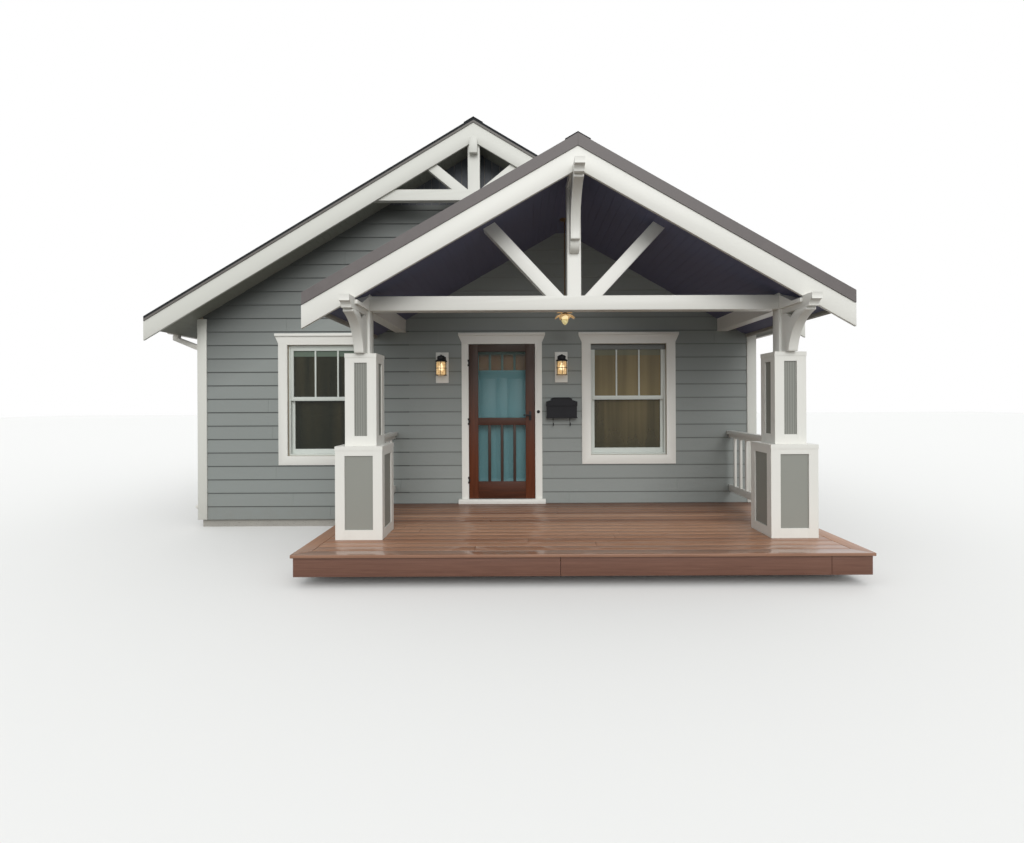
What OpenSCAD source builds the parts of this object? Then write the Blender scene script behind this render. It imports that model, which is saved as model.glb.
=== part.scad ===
// Bungalow with a lap-sided gabled house and an open front porch under its own gable.
// Millimetres, Z up, front towards -Y. The origin is on the ground, in the
// middle of the building's outline seen from above.

/* [House] */
// Width across the outside walls
house_w = 7350; // [7200:50:7600]
// Depth from the front wall to the rear wall
house_d = 9600; // [9000:100:10400]
// Thickness of an outside wall
wall_t = 180; // [160:5:200]
// Height of the concrete footing above the ground
footing_h = 100; // [80:5:130]
// How far the siding stands out over the footing
siding_proud = 20; // [10:2:30]
// Height of the floor's top above the ground
floor_h = 360; // [340:5:380]
// Depth of the floor's joists and boards
floor_t = 200; // [160:10:220]
// Height of the roof's underside at the outside wall
eave_h = 2771; // [2740:5:2840]
// Width of a corner board's face
corner_board_w = 97; // [80:5:120]
// Thickness of the corner boards and casings
trim_t = 25; // [20:1:32]

/* [Main roof] */
// Rise of the main roof for each unit of run
main_rise = 0.597; // [0.57:0.005:0.63]
// How far the roof's ends stand out past the side walls
eave_overhang = 476; // [440:10:520]
// How far the roof stands out past the front and rear walls
rake_overhang = 400; // [360:10:440]
// Upright depth of the roof frame
rafter_h = 185; // [160:5:200]
// Upright thickness of the shingles and their boarding
main_shingle_h = 65; // [50:5:80]
// How far the shingles stand out past the rake boards
shingle_lip = 15; // [8:1:25]
// Upright depth of a rake board
rake_board_h = 238; // [220:2:250]
// Thickness of a rake board
rake_board_t = 30; // [24:1:38]
// Width of a gutter
gutter_w = 125; // [110:5:140]
// Height of a gutter
gutter_h = 105; // [90:5:120]
// Sheet thickness of a gutter
gutter_sheet = 4; // [3:0.5:6]
// Gap between a gutter's front lip and the shingles
gutter_clear = 2; // [1:0.5:6]
// Width of a downspout along the wall
downspout_w = 80; // [70:2:90]
// How far a downspout stands off its back
downspout_t = 76; // [66:2:86]
// Gap between a downspout and the corner board beside it
downspout_gap = 10; // [5:1:20]
// Thickness of the fascia behind a gutter
fascia_t = 25; // [20:1:32]
// Width of a ridge cap, level across the ridge
ridge_cap_w = 250; // [220:10:300]
// Upright thickness of a ridge cap
ridge_cap_h = 24; // [16:2:30]

/* [Gable truss] */
// Height of the truss from the tie's underside to the roof's inner ridge
truss_h = 778; // [740:2:780]
// Depth of the tie
tie_h = 138; // [120:2:150]
// Depth of the truss from front to back
truss_t = 90; // [70:5:110]
// Width of the king post
gable_post_w = 150; // [120:5:170]
// Width of a gable brace
gable_brace_w = 124; // [100:2:140]
// Width of the ridge beam's end
gable_beam_w = 100; // [80:5:120]
// Depth of the ridge beam below the roof's inner ridge
gable_beam_h = 211; // [180:5:230]
// How far the ridge beam stands out past the rake boards
gable_beam_tail = 45; // [30:5:70]

/* [Porch] */
// Centre of the porch from the centre of the house
porch_x = 1125; // [1110:5:1170]
// Width of the deck
deck_w = 5180; // [5100:10:5260]
// Depth of the deck from the front wall
deck_d = 2380; // [2300:10:2460]
// Height of the deck's top above the ground
deck_h = 300; // [285:5:315]
// Thickness of the deck boards
deck_board_t = 28; // [24:1:34]
// How far the deck boards stand out past the fascia
deck_nosing = 20; // [12:2:30]
// Depth of the deck's fascia
deck_fascia_h = 171; // [150:3:190]
// Thickness of the deck's fascia
deck_fascia_t = 26; // [20:1:32]
// Distance between the centres of the piers
pier_spacing = 4268; // [4200:4:4330]
// Distance from the front wall to the centres of the piers
pier_y = 1650; // [1600:10:1700]
// Width of a pier's base
pier_base_w = 463; // [440:1:490]
// Height of a pier's base
pier_base_h = 916; // [860:4:960]
// Width of a pier's column
pier_column_w = 312; // [290:2:340]
// Gap between a pier's column and the foot of its knee bracket
column_clear = 1; // [1:1:20]
// Width of the boards that frame the pier panels
pier_board_w = 93; // [80:1:100]
// Height of a pier's bottom board
pier_foot_h = 96; // [80:1:130]
// Thickness of the boards that frame the pier panels
pier_board_t = 12; // [9:1:20]
// Thickness of the sheets behind those boards
pier_sheet_t = 16; // [12:1:20]
// Thickness of a pier's cap
pier_cap_t = 42; // [30:2:50]
// How far a pier's cap stands out
pier_cap_lip = 3; // [2:1:8]
// Width of a porch post
post_w = 140; // [124:2:156]
// Width of a porch beam
beam_w = 140; // [124:2:156]
// Depth of the crossbeam
crossbeam_h = 146; // [130:2:160]
// How far the side beams hang below the ceiling at their centres
side_beam_drop = 136; // [120:2:150]
// How far the ridge beam hangs below the ceiling's ridge
ridge_beam_drop = 124; // [110:2:140]
// How far the ridge board behind the truss hangs below the ceiling's ridge
ridge_board_drop = 52; // [46:1:60]
// How far the beam ends stand out past the porch rake boards
beam_tail = 165; // [150:1:180]
// Height of a beam end's nose above its cove
beam_nose_h = 58; // [50:1:66]
// Height of a side beam where it meets the rake board
beam_step_h = 37; // [34:1:48]
// Length of the slope that brings a side beam down to that height
beam_step_run = 252; // [230:2:270]
// Depth of the bolster between a beam and its knee bracket
bolster_h = 55; // [48:1:62]
// Width of a brace of the porch truss
brace_w = 130; // [110:2:150]
// Height of the porch truss braces from the crossbeam up
brace_rise = 701; // [640:5:760]
// Distance from the truss centre to a brace's foot
brace_foot = 195; // [160:5:230]
// Distance from the truss centre to a brace's head
brace_head = 848; // [800:4:900]

/* [Knee brackets] */
// Width of a knee bracket
bracket_w = 94; // [84:2:104]
// How far a knee bracket reaches forwards
bracket_reach = 470; // [450:2:490]
// Height of a side bracket, from its bolster down to the pier's column
bracket_h = 380; // [360:5:400]
// Height of the middle bracket, from its bolster down to its corbel
middle_bracket_h = 500; // [490:2:510]
// How far a bracket's front edge bows in from a straight brace
bracket_bow = 75; // [65:1:85]
// Height of the upright face at a bracket's tip
bracket_tip = 28; // [22:1:34]
// Width of a bracket's foot
bracket_foot = 140; // [130:2:150]
// Width of a bracket's leg between the post and the small window beside the bolster
bracket_leg = 88; // [80:1:96]
// Length of that window along the bolster
bracket_window_w = 180; // [165:1:195]
// Depth of that window
bracket_window_h = 55; // [48:1:62]
// Height of the corbel under the middle bracket
corbel_h = 110; // [104:1:120]
// How far the corbel stands out from its post
corbel_d = 92; // [84:1:100]

/* [Porch roof] */
// How much flatter the porch roof is than the main roof, for each unit of run
rise_less = 0.025; // [0.01:0.005:0.028]
// Upright gap between the porch's shingles and the main rake boards at the porch ridge
porch_tuck = 84; // [70:1:90]
// How far the porch roof stands out from the front wall
porch_roof_d = 2130; // [2080:10:2180]
// Half the width of the porch rake boards
porch_rake_end = 2590; // [2550:10:2630]
// Distance from the porch centre to the outside of its eave fascias
porch_eave = 2465; // [2430:5:2500]
// Upright thickness of the porch's shingles and their boarding
porch_shingle_h = 120; // [100:5:125]
// Upright depth of the porch roof frame
porch_rafter_h = 110; // [100:2:120]
// Upright depth of the fascias at the porch's eaves
porch_fascia_h = 140; // [130:2:150]
// Upright depth of a porch rake board
porch_rake_h = 217; // [200:2:230]
// Thickness of a porch rake board
porch_rake_t = 36; // [28:1:44]

/* [Railings] */
// Distance from a pier's centre line outwards to its railing
rail_out = 95; // [70:5:120]
// Height of the handrail's top above the deck
rail_top = 949; // [900:5:1000]
// Width of the handrail
rail_cap_w = 92; // [80:2:110]
// Thickness of the handrail
rail_cap_t = 46; // [36:2:56]
// Height of the bottom rail's underside above the deck
rail_foot = 152; // [100:4:180]
// Depth of the bottom rail
rail_bottom_h = 88; // [70:2:100]
// Thickness of the bottom rail
rail_bottom_t = 40; // [36:1:50]
// Width of a baluster
baluster_w = 31; // [28:1:38]
// Largest distance between the centres of two balusters
baluster_pitch = 180; // [150:2:200]

/* [Windows] */
// Distance from the house's centre to a front window's centre
window_x = 2010; // [2000:5:2040]
// Width of a window opening
window_w = 1003; // [960:1:1040]
// Height of a window opening's foot above the ground
window_foot = 936; // [900:4:980]
// Height of the window and door openings' heads above the ground
head_z = 2410; // [2380:5:2430]
// Width of a window's side and bottom casings
casing_w = 119; // [110:1:136]
// Height of a head casing
head_casing_h = 150; // [130:2:160]
// How far the head casing's crown spreads past the casings
crown_out = 42; // [30:1:50]
// Height of the crown's top band
crown_h = 36; // [26:2:46]
// Width of a sash's stiles
sash_w = 36; // [30:1:44]
// Depth of the upper sash's head rail
sash_head_h = 50; // [42:1:58]
// Depth of the lower sash's foot rail
sash_foot_h = 62; // [54:1:70]
// Depth of the meeting rail
meeting_rail_h = 52; // [44:1:60]
// Height of the meeting rail's centre above the ground
meeting_z = 1694; // [1660:2:1730]
// Width of a window's frame
window_frame_w = 24; // [20:1:32]
// Width of a glazing bar
glazing_bar_w = 20; // [16:1:26]
// Thickness of the window glass
glass_t = 6; // [4:1:8]
// Distance from the front wall to the first side window's centre
side_window_first = 2300; // [2200:50:2400]
// Distance between the centres of the side windows
side_window_pitch = 2500; // [2400:50:2600]
// How many windows a side wall has
side_windows = 3; // [2:1:3]

/* [Doors] */
// Distance from the house's centre to the doorway's centre
door_x = 330; // [300:5:350]
// Width of the doorway between its jambs
door_w = 880; // [850:2:900]
// Thickness of a door jamb
jamb_t = 34; // [28:1:40]
// Width of a door's side casing
door_casing_w = 92; // [80:2:104]
// Running gap round a door
door_gap = 5; // [5:0.5:7]
// Thickness of the screen door
screen_t = 32; // [28:1:38]
// Width of a screen door's stile
screen_stile = 122; // [105:1:130]
// Depth of the screen door's top rail
screen_top = 96; // [85:1:110]
// Depth of the screen door's middle rail
screen_mid = 98; // [85:1:110]
// Height of the middle rail's top above the floor
screen_mid_z = 1074; // [1040:2:1110]
// Depth of the screen door's bottom rail
screen_bottom = 226; // [200:2:250]
// Width of a slat in the lower half
slat_w = 38; // [32:1:46]
// How many slats the lower half has
slats = 3; // [2:1:4]
// Thickness of the screen cloth in its groove
mesh_t = 3; // [2:0.5:4]
// Thickness of the entry door
entry_t = 44; // [40:1:50]
// Width of an entry door's stile
entry_stile = 118; // [100:2:130]
// Depth of the entry door's top rail
entry_top = 120; // [105:5:135]
// Height of the row of lites
lite_h = 215; // [190:5:240]
// How many lites stand in the row
lites = 4; // [3:1:5]
// Depth of the rail below the lites
entry_shelf = 100; // [80:5:120]
// Depth of the entry door's bottom rail
entry_bottom = 230; // [200:5:260]
// Width of the bars between the entry door's lites
entry_bar = 60; // [44:2:76]
// Width of the upright between the entry door's two panels
entry_mullion = 146; // [130:2:160]
// How deep the entry door's panels are sunk
panel_sink = 12; // [8:1:14]
// Radius of a hinge knuckle
knuckle_r = 6; // [5:0.5:7]
// Length of a hinge's middle knuckle
knuckle_h = 36; // [28:2:44]
// Width of a hinge plate
hinge_plate_w = 14; // [11:1:18]
// Thickness of a hinge plate
hinge_plate_t = 2; // [1.5:0.5:3]
// Gap between knuckles
knuckle_gap = 0.3; // [0.2:0.1:0.5]
// Height of the door handles above the floor
handle_z = 1108; // [1060:4:1140]

/* [Fittings] */
// Distance from the doorway's centre to a lantern's centre
lantern_out = 788; // [760:4:800]
// Height of a lantern block's foot above the ground
lantern_block_z = 1897; // [1860:5:1940]
// Width of a lantern block
lantern_block_w = 168; // [150:2:190]
// Height of a lantern block
lantern_block_h = 405; // [380:5:430]
// Width of a lantern's cap
lantern_cap_w = 142; // [130:2:150]
// Height of a lantern from its foot to its cap's top
lantern_h = 300; // [270:5:320]
// Radius of a lantern's jar
jar_r = 46; // [40:1:52]
// Distance from the wall to a lantern's centre
lantern_reach = 118; // [105:1:130]
// Width of the mailbox
mailbox_w = 403; // [380:2:430]
// Height of the mailbox
mailbox_h = 255; // [230:5:280]
// Height of the mailbox's foot above the ground
mailbox_z = 1428; // [1400:5:1450]
// Depth of the mailbox
mailbox_d = 125; // [105:5:140]
// Distance from the front wall to the pendant light
pendant_out = 560; // [500:10:700]
// Height of the pendant light's foot above the ground
pendant_z = 2580; // [2540:10:2620]
// Radius of the pendant light
pendant_r = 130; // [115:5:140]
// Height of the pendant light's body
pendant_h = 180; // [150:5:200]

/* [Hidden] */
$fn = 64;
overlap = 1;

roof_end = house_w / 2 + eave_overhang;
soffit_apex = eave_h + house_w / 2 * main_rise;
rake_top_apex = soffit_apex + rafter_h;
shingle_apex = rake_top_apex + main_shingle_h;
tie_z = soffit_apex - truss_h;
cap_seat = 0.2;
fascia_x = roof_end - gutter_w;
gutter_z = rake_top_apex - main_rise * roof_end - gutter_clear - gutter_h;
front_end = deck_d + deck_nosing;
rear_end = house_d + rake_overhang + shingle_lip;
front_wall_y = (front_end - rear_end) / 2;

porch_rise = main_rise - rise_less;
porch_shingle_apex = rake_top_apex - rake_board_h - main_rise * porch_x - porch_tuck;
porch_rake_apex = porch_shingle_apex - porch_shingle_h;
ceiling_apex = porch_rake_apex - porch_rafter_h;
pier_half = pier_spacing / 2;
beam_z = ceiling_apex - porch_rise * pier_half - side_beam_drop;
ridge_beam_z = ceiling_apex - ridge_beam_drop;
ridge_board_z = ceiling_apex - ridge_board_drop;
post_front = -pier_y - post_w / 2;
pier_base_top = deck_h + pier_base_h;
column_top = beam_z - bolster_h - bracket_h - column_clear;

jamb_out = door_w / 2 + jamb_t;
door_foot = floor_h + door_gap;
door_leaf_w = door_w - 2 * door_gap;
door_leaf_h = head_z - door_gap - door_foot;
door_left = door_x - door_leaf_w / 2;
hinge_x = door_left - door_gap / 2;
screen_y = -trim_t;
screen_hinge_y = screen_y - hinge_plate_t - knuckle_r;
entry_y = wall_t - entry_t;
entry_hinge_y = wall_t + hinge_plate_t + knuckle_r;
hinge_spots = [0.12, 0.5, 0.88];

// Places the children with the front wall's face at Y 0
module house() {
    translate([0, front_wall_y, 0]) children();
}

// The same, with the porch's centre line at X 0
module porch() {
    translate([porch_x, front_wall_y, 0]) children();
}

// Extrudes an outline drawn in X and Z from y0 to y1
module along_y(y0, y1) {
    translate([0, y1, 0]) rotate([90, 0, 0]) linear_extrude(y1 - y0) children();
}

// Extrudes an outline drawn in Y and Z from x0 to x1
module along_x(x0, x1) {
    translate([x0, 0, 0]) rotate([90, 0, 90]) linear_extrude(x1 - x0) children();
}

// Draws the children as they are and mirrored across the centre line
module both_sides() {
    children();
    mirror([1, 0, 0]) children();
}

// One slope between two lines that leave the ridge at low and high
module slope(side, low, high, rise, end, start = 0) {
    polygon([
        [side * start, low - rise * start], [side * start, high - rise * start],
        [side * end, high - rise * end], [side * end, low - rise * end]]);
}

// Both slopes of a gable
module chevron(low, high, rise, end) {
    polygon([
        [-end, low - rise * end], [-end, high - rise * end], [0, high],
        [end, high - rise * end], [end, low - rise * end], [0, low]]);
}

// Everything under a pair of slopes, down to floor_z
module under_slopes(apex, rise, floor_z) {
    reach = (apex - floor_z) / rise;
    polygon([[-reach, floor_z], [0, apex], [reach, floor_z]]);
}

// A box from one corner to the opposite one
module block(low, high) {
    translate(low) cube(high - low);
}

module window_hole(x) {
    block([x - window_w / 2, -overlap, window_foot],
        [x + window_w / 2, wall_t + overlap, head_z]);
}

// Places the children, drawn as a front window centred on X 0, at each window
module at_front_windows() {
    for (x = [-window_x, window_x]) translate([x, 0, 0]) children();
}

module at_rear_windows() {
    translate([0, house_d, 0]) rotate(180) at_front_windows() children();
}

// The left wall drawn as a front wall whose X runs from the rear to the front
module at_left_windows() {
    for (i = [0 : side_windows - 1])
        translate([-house_w / 2, side_window_first + i * side_window_pitch, 0])
            rotate(-90) children();
}

module at_right_windows() {
    mirror([1, 0, 0]) at_left_windows() children();
}

module at_all_windows() {
    at_front_windows() children();
    at_rear_windows() children();
    at_left_windows() children();
    at_right_windows() children();
}

module foundation() {
    inner = wall_t + 120;
    color("gray") house() difference() {
        union() {
            block([-house_w / 2 + siding_proud, siding_proud, 0],
                [house_w / 2 - siding_proud, house_d - siding_proud, footing_h]);
            block([-house_w / 2 + wall_t, wall_t, 0],
                [house_w / 2 - wall_t, house_d - wall_t, floor_h - floor_t]);
        }
        block([-house_w / 2 + inner, inner, -overlap],
            [house_w / 2 - inner, house_d - inner, floor_h]);
    }
}

module house_floor() {
    color("burlywood") house()
        block([-house_w / 2 + wall_t, wall_t, floor_h - floor_t],
            [house_w / 2 - wall_t, house_d - wall_t, floor_h]);
}

module front_wall_left() {
    color("#84877f") house() difference() {
        block([-house_w / 2, 0, footing_h], [door_x - jamb_out, wall_t, eave_h]);
        window_hole(-window_x);
    }
}

module front_wall_right() {
    color("#84877f") house() difference() {
        block([door_x + jamb_out, 0, footing_h], [house_w / 2, wall_t, eave_h]);
        window_hole(window_x);
    }
}

// The wall over the doorway, and the strip of it under the sill
module front_wall_over_door() {
    color("#84877f") house() {
        block([door_x - jamb_out, 0, head_z + jamb_t], [door_x + jamb_out, wall_t, eave_h]);
        block([door_x - jamb_out, 0, footing_h], [door_x + jamb_out, wall_t, floor_h - jamb_t]);
    }
}

module front_gable() {
    color("#6f716c") house() along_y(0, wall_t)
        under_slopes(soffit_apex, main_rise, eave_h);
}

module side_wall() {
    along_y(wall_t, house_d - wall_t)
        polygon([[-house_w / 2, footing_h], [-house_w / 2, eave_h],
            [-house_w / 2 + wall_t, eave_h + main_rise * wall_t],
            [-house_w / 2 + wall_t, footing_h]]);
}

module left_wall() {
    color("#84877f") house() difference() {
        side_wall();
        at_left_windows() window_hole(0);
    }
}

module right_wall() {
    color("#84877f") house() difference() {
        mirror([1, 0, 0]) side_wall();
        at_right_windows() window_hole(0);
    }
}

module rear_wall() {
    color("#84877f") house() difference() {
        block([-house_w / 2, house_d - wall_t, footing_h], [house_w / 2, house_d, eave_h]);
        at_rear_windows() window_hole(0);
    }
}

module rear_gable() {
    color("#84877f") house() along_y(house_d - wall_t, house_d)
        under_slopes(soffit_apex, main_rise, eave_h);
}

// One corner board, folded round the house's front left corner
module corner_board() {
    edge = house_w / 2;
    wall_top = eave_h - main_rise * trim_t;
    difference() {
        block([-edge - trim_t, -trim_t, footing_h],
            [-edge + corner_board_w, corner_board_w, wall_top]);
        block([-edge, 0, 0], [0, house_d, eave_h]);
    }
}

// The fascia board at one of the porch's eaves
module porch_fascia_outline(side) {
    slope(side, porch_rake_apex - porch_fascia_h, porch_rake_apex, porch_rise, porch_eave,
        porch_eave - fascia_t);
}

// The porch's deck and roof where they meet the front wall
module porch_against_wall() {
    block([-deck_w / 2, -deck_d, 0], [deck_w / 2, 0, deck_h]);
    along_y(-deck_d, 0) {
        chevron(ceiling_apex, porch_shingle_apex, porch_rise, porch_eave);
        for (side = [-1, 1]) porch_fascia_outline(side);
        chevron(porch_rake_apex, porch_shingle_apex + eave_h, porch_rise, porch_rake_end);
    }
}

module corner_boards() {
    color("#e2dfd8") difference() {
        house() both_sides() {
            corner_board();
            translate([0, house_d, 0]) mirror([0, 1, 0]) corner_board();
        }
        porch() porch_against_wall();
    }
}

module main_roof_half(side) {
    along_y(-rake_overhang + rake_board_t, house_d + rake_overhang - rake_board_t)
        slope(side, soffit_apex, rake_top_apex, main_rise, fascia_x - fascia_t);
}

module main_roof_left() {
    color("#5c5e5a") house() main_roof_half(-1);
}

module main_roof_right() {
    color("#5c5e5a") house() main_roof_half(1);
}

module main_shingle_half(side) {
    along_y(-rake_overhang - shingle_lip, house_d + rake_overhang + shingle_lip)
        slope(side, rake_top_apex, shingle_apex, main_rise, roof_end);
}

module main_shingles_left() {
    color("#2b2c2e") house() main_shingle_half(-1);
}

module main_shingles_right() {
    color("#2b2c2e") house() main_shingle_half(1);
}

module ridge_caps() {
    color("#1d1e20") {
        house() along_y(-rake_overhang - shingle_lip, house_d + rake_overhang + shingle_lip)
            chevron(shingle_apex + cap_seat, shingle_apex + ridge_cap_h, main_rise,
                ridge_cap_w / 2);
        porch() along_y(-porch_roof_d - shingle_lip, 0)
            chevron(porch_shingle_apex + cap_seat, porch_shingle_apex + ridge_cap_h,
                porch_rise, ridge_cap_w / 2);
    }
}

module main_rake_board() {
    along_y(-rake_overhang, -rake_overhang + rake_board_t)
        chevron(rake_top_apex - rake_board_h, rake_top_apex, main_rise, roof_end);
}

module main_rake_boards() {
    color("#e2dfd8") house() {
        main_rake_board();
        translate([0, house_d, 0]) mirror([0, 1, 0]) main_rake_board();
    }
}

module eave_fascias() {
    color("#e2dfd8") {
        house() both_sides()
            along_y(-rake_overhang + rake_board_t, house_d + rake_overhang - rake_board_t)
                slope(-1, soffit_apex, rake_top_apex, main_rise, fascia_x,
                    fascia_x - fascia_t);
        porch() for (side = [-1, 1])
            along_y(-porch_roof_d + porch_rake_t, 0) porch_fascia_outline(side);
    }
}

// A gutter's outline, inset by t all round but open at the top
function gutter_outline(t, top) = [
    [-fascia_x - t, gutter_z + top], [-fascia_x - t, gutter_z + t],
    [-fascia_x - gutter_w * 0.62 + t / 2, gutter_z + t],
    [-fascia_x - gutter_w + t, gutter_z + gutter_h * 0.5],
    [-fascia_x - gutter_w + t, gutter_z + top]];

module gutter() {
    difference() {
        along_y(0, house_d) polygon(gutter_outline(0, gutter_h));
        along_y(gutter_sheet, house_d - gutter_sheet)
            polygon(gutter_outline(gutter_sheet, gutter_h + overlap));
    }
}

module gutters() {
    color("#e2dfd8") house() both_sides() gutter();
}

// A flat pipe from the gutter's outlet back to the wall and down it, its near face at y
module downspout(y) {
    wall_gap = 4;
    lip = 12;
    wall_x = house_w / 2 + wall_gap;
    out_x = fascia_x + lip;
    bend = gutter_z - 70;
    slant = (out_x - wall_x) * 0.42;
    foot = 233;
    kick_h = 20;
    kick_out = 70;
    along_y(y, y + downspout_w)
        polygon([
            [-out_x - downspout_t, gutter_z], [-out_x - downspout_t, bend],
            [-wall_x - downspout_t, bend - slant],
            [-wall_x - downspout_t, foot + 3 * kick_h],
            [-wall_x - downspout_t - kick_out, foot + kick_h],
            [-wall_x - downspout_t - kick_out / 2, foot - kick_h], [-wall_x, foot + kick_h],
            [-wall_x, bend - slant + downspout_t * 0.6], [-out_x, bend + downspout_t * 0.45],
            [-out_x, gutter_z]]);
}

// One pipe at the front left corner and one at the back right
module downspouts() {
    color("#dddad2") house() {
        downspout(corner_board_w + downspout_gap);
        mirror([1, 0, 0]) downspout(house_d - corner_board_w - downspout_gap - downspout_w);
    }
}

// Braces, post and tie of the front gable, under the main roof
module gable_truss_outline() {
    brace_low = [gable_post_w / 2 + 20, tie_z + tie_h / 2];
    brace_angle = 39.4;
    intersection() {
        under_slopes(soffit_apex, main_rise, tie_z);
        union() {
            translate([-house_w / 2, tie_z]) square([house_w, tie_h]);
            translate([-gable_post_w / 2, tie_z]) square([gable_post_w, soffit_apex - tie_z]);
            for (side = [-1, 1]) scale([side, 1]) translate(brace_low)
                rotate(brace_angle) translate([0, -gable_brace_w / 2])
                    square([house_w / 4, gable_brace_w]);
        }
    }
}

module gable_truss() {
    front = -rake_overhang + rake_board_t;
    color("#e2dfd8") house() union() {
        along_y(front, front + truss_t) gable_truss_outline();
        difference() {
            along_y(-rake_overhang - gable_beam_tail, 0) intersection() {
                under_slopes(soffit_apex, main_rise, tie_z);
                translate([-gable_beam_w / 2, soffit_apex - gable_beam_h])
                    square([gable_beam_w, gable_beam_h]);
            }
            main_rake_board();
        }
    }
}

module gable_panel() {
    panel_t = 12;
    color("#23282d") house() along_y(-panel_t, 0) difference() {
        intersection() {
            under_slopes(soffit_apex, main_rise, tie_z + tie_h / 2);
            translate([-house_w / 2, 0]) square([house_w, soffit_apex]);
        }
        translate([-gable_beam_w / 2, soffit_apex - gable_beam_h])
            square([gable_beam_w, gable_beam_h]);
    }
}

module porch_deck() {
    color("#825f4e") porch()
        block([-deck_w / 2, -deck_d - deck_nosing, deck_h - deck_board_t],
            [deck_w / 2, 0, deck_h]);
}

module deck_fascia() {
    low = deck_h - deck_board_t - deck_fascia_h;
    high = deck_h - deck_board_t;
    half = deck_w / 2 - deck_nosing;
    color("#704c3e") porch() difference() {
        block([-half, -deck_d, low], [half, 0, high]);
        block([-half + deck_fascia_t, -deck_d + deck_fascia_t, low - overlap],
            [half - deck_fascia_t, overlap, high + overlap]);
    }
}

// Joists on three beams, on short feet that stand on the ground
module deck_frame() {
    joist_t = 40;
    joist_h = 120;
    joists = 13;
    beam_below = 40;
    foot_w = 140;
    foot_inset = 300;
    set_back = 380;
    high = deck_h - deck_board_t;
    half = deck_w / 2 - deck_nosing - deck_fascia_t;
    front = -deck_d + deck_fascia_t;
    beams = [front + set_back, -pier_y - joist_t, -2 * joist_t];
    color("#5a4a3c") porch() union() {
        for (i = [0 : joists - 1])
            translate([-half + (2 * half - joist_t) * i / (joists - 1), front,
                high - joist_h])
                cube([joist_t, -front, joist_h]);
        for (y = beams)
            block([-half, y, high - joist_h - beam_below], [half, y + 2 * joist_t, high]);
        for (y = beams, side = [-1, -1 / 3, 1 / 3, 1])
            translate([side * (half - foot_inset) - foot_w / 2, y, 0])
                cube([foot_w, joist_t * 2, high - joist_h]);
    }
}

// A square box of sheet, open inside, for a pier's panels
module pier_core(w, low, high) {
    outer = w - 2 * pier_board_t;
    inner = outer - 2 * pier_sheet_t;
    difference() {
        block([-outer / 2, -outer / 2, low], [outer / 2, outer / 2, high]);
        block([-inner / 2, -inner / 2, low - overlap], [inner / 2, inner / 2, high + overlap]);
    }
}

// The boards round a pier's panels, with the panels' windows cut through
module pier_boards(w, low, high) {
    opening = w - 2 * pier_board_w;
    core = w - 2 * pier_board_t;
    difference() {
        union() {
            block([-w / 2, -w / 2, low], [w / 2, w / 2, high - pier_cap_t]);
            block([-w / 2 - pier_cap_lip, -w / 2 - pier_cap_lip, high - pier_cap_t],
                [w / 2 + pier_cap_lip, w / 2 + pier_cap_lip, high]);
        }
        block([-core / 2, -core / 2, low - overlap], [core / 2, core / 2, high - pier_cap_t]);
        for (turn = [0, 90])
            rotate(turn) block([-opening / 2, -w, low + pier_foot_h],
                [opening / 2, w, high - pier_board_w]);
        block([-post_w / 2, -post_w / 2, low], [post_w / 2, post_w / 2, high + overlap]);
    }
}

module at_piers() {
    for (side = [-1, 1]) translate([side * pier_half, -pier_y, 0]) children();
}

module pier_panels() {
    color("#8e8e86") porch() at_piers() {
        pier_core(pier_base_w, deck_h, pier_base_top - pier_cap_t);
        pier_core(pier_column_w, pier_base_top, column_top - pier_cap_t);
    }
}

module pier_trim() {
    color("#e2dfd8") porch() at_piers() {
        pier_boards(pier_base_w, deck_h, pier_base_top);
        pier_boards(pier_column_w, pier_base_top, column_top);
    }
}

module porch_posts() {
    color("#d8d5cc") porch() at_piers()
        block([-post_w / 2, -post_w / 2, deck_h], [post_w / 2, post_w / 2, beam_z]);
}

module porch_rake_board() {
    along_y(-porch_roof_d, -porch_roof_d + porch_rake_t)
        chevron(porch_rake_apex - porch_rake_h, porch_rake_apex, porch_rise, porch_rake_end);
}

// A bolster from a post to the beam's end, which has a nose over a cove
module beam_end_outline(low) {
    nose_y = -porch_roof_d - beam_tail;
    bolster_z = low - bolster_h;
    difference() {
        union() {
            translate([nose_y, bolster_z]) square([post_front - nose_y, bolster_h + overlap]);
            translate([nose_y, bolster_z]) square([beam_tail, bolster_h + beam_nose_h]);
        }
        translate([nose_y, bolster_z]) circle(bolster_h);
    }
}

// The space over a side beam, in front of its post
module beam_step() {
    low = beam_z + beam_step_h;
    front = -porch_roof_d - overlap;
    along_x(-porch_rake_end, porch_rake_end) polygon([
        [post_front, beam_z + crossbeam_h], [post_front, ceiling_apex], [front, ceiling_apex],
        [front, low], [post_front - beam_step_run, low]]);
}

// A beam that runs forwards from y, with its bolster and its end past the rake boards
module porch_beam(x, low, y) {
    difference() {
        union() {
            difference() {
                along_y(-porch_roof_d, y) intersection() {
                    under_slopes(ceiling_apex, porch_rise, low);
                    translate([x - beam_w / 2, low]) square([beam_w, ceiling_apex]);
                }
                if (x != 0) beam_step();
            }
            along_x(x - bracket_w / 2, x + bracket_w / 2) beam_end_outline(low);
        }
        porch_rake_board();
    }
}

module porch_beams() {
    color("#dedbd3") porch() {
        porch_beam(-pier_half, beam_z, 0);
        porch_beam(pier_half, beam_z, 0);
        porch_beam(0, ridge_beam_z, -pier_y + beam_w / 2);
    }
}

// A dark board along the ceiling's ridge, from the truss back to the wall
module porch_ridge_board() {
    color("#2a2830") porch() along_y(-pier_y + beam_w / 2, 0) intersection() {
        under_slopes(ceiling_apex, porch_rise, ridge_board_z);
        translate([-beam_w / 2, ridge_board_z]) square([beam_w, ceiling_apex]);
    }
}

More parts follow.
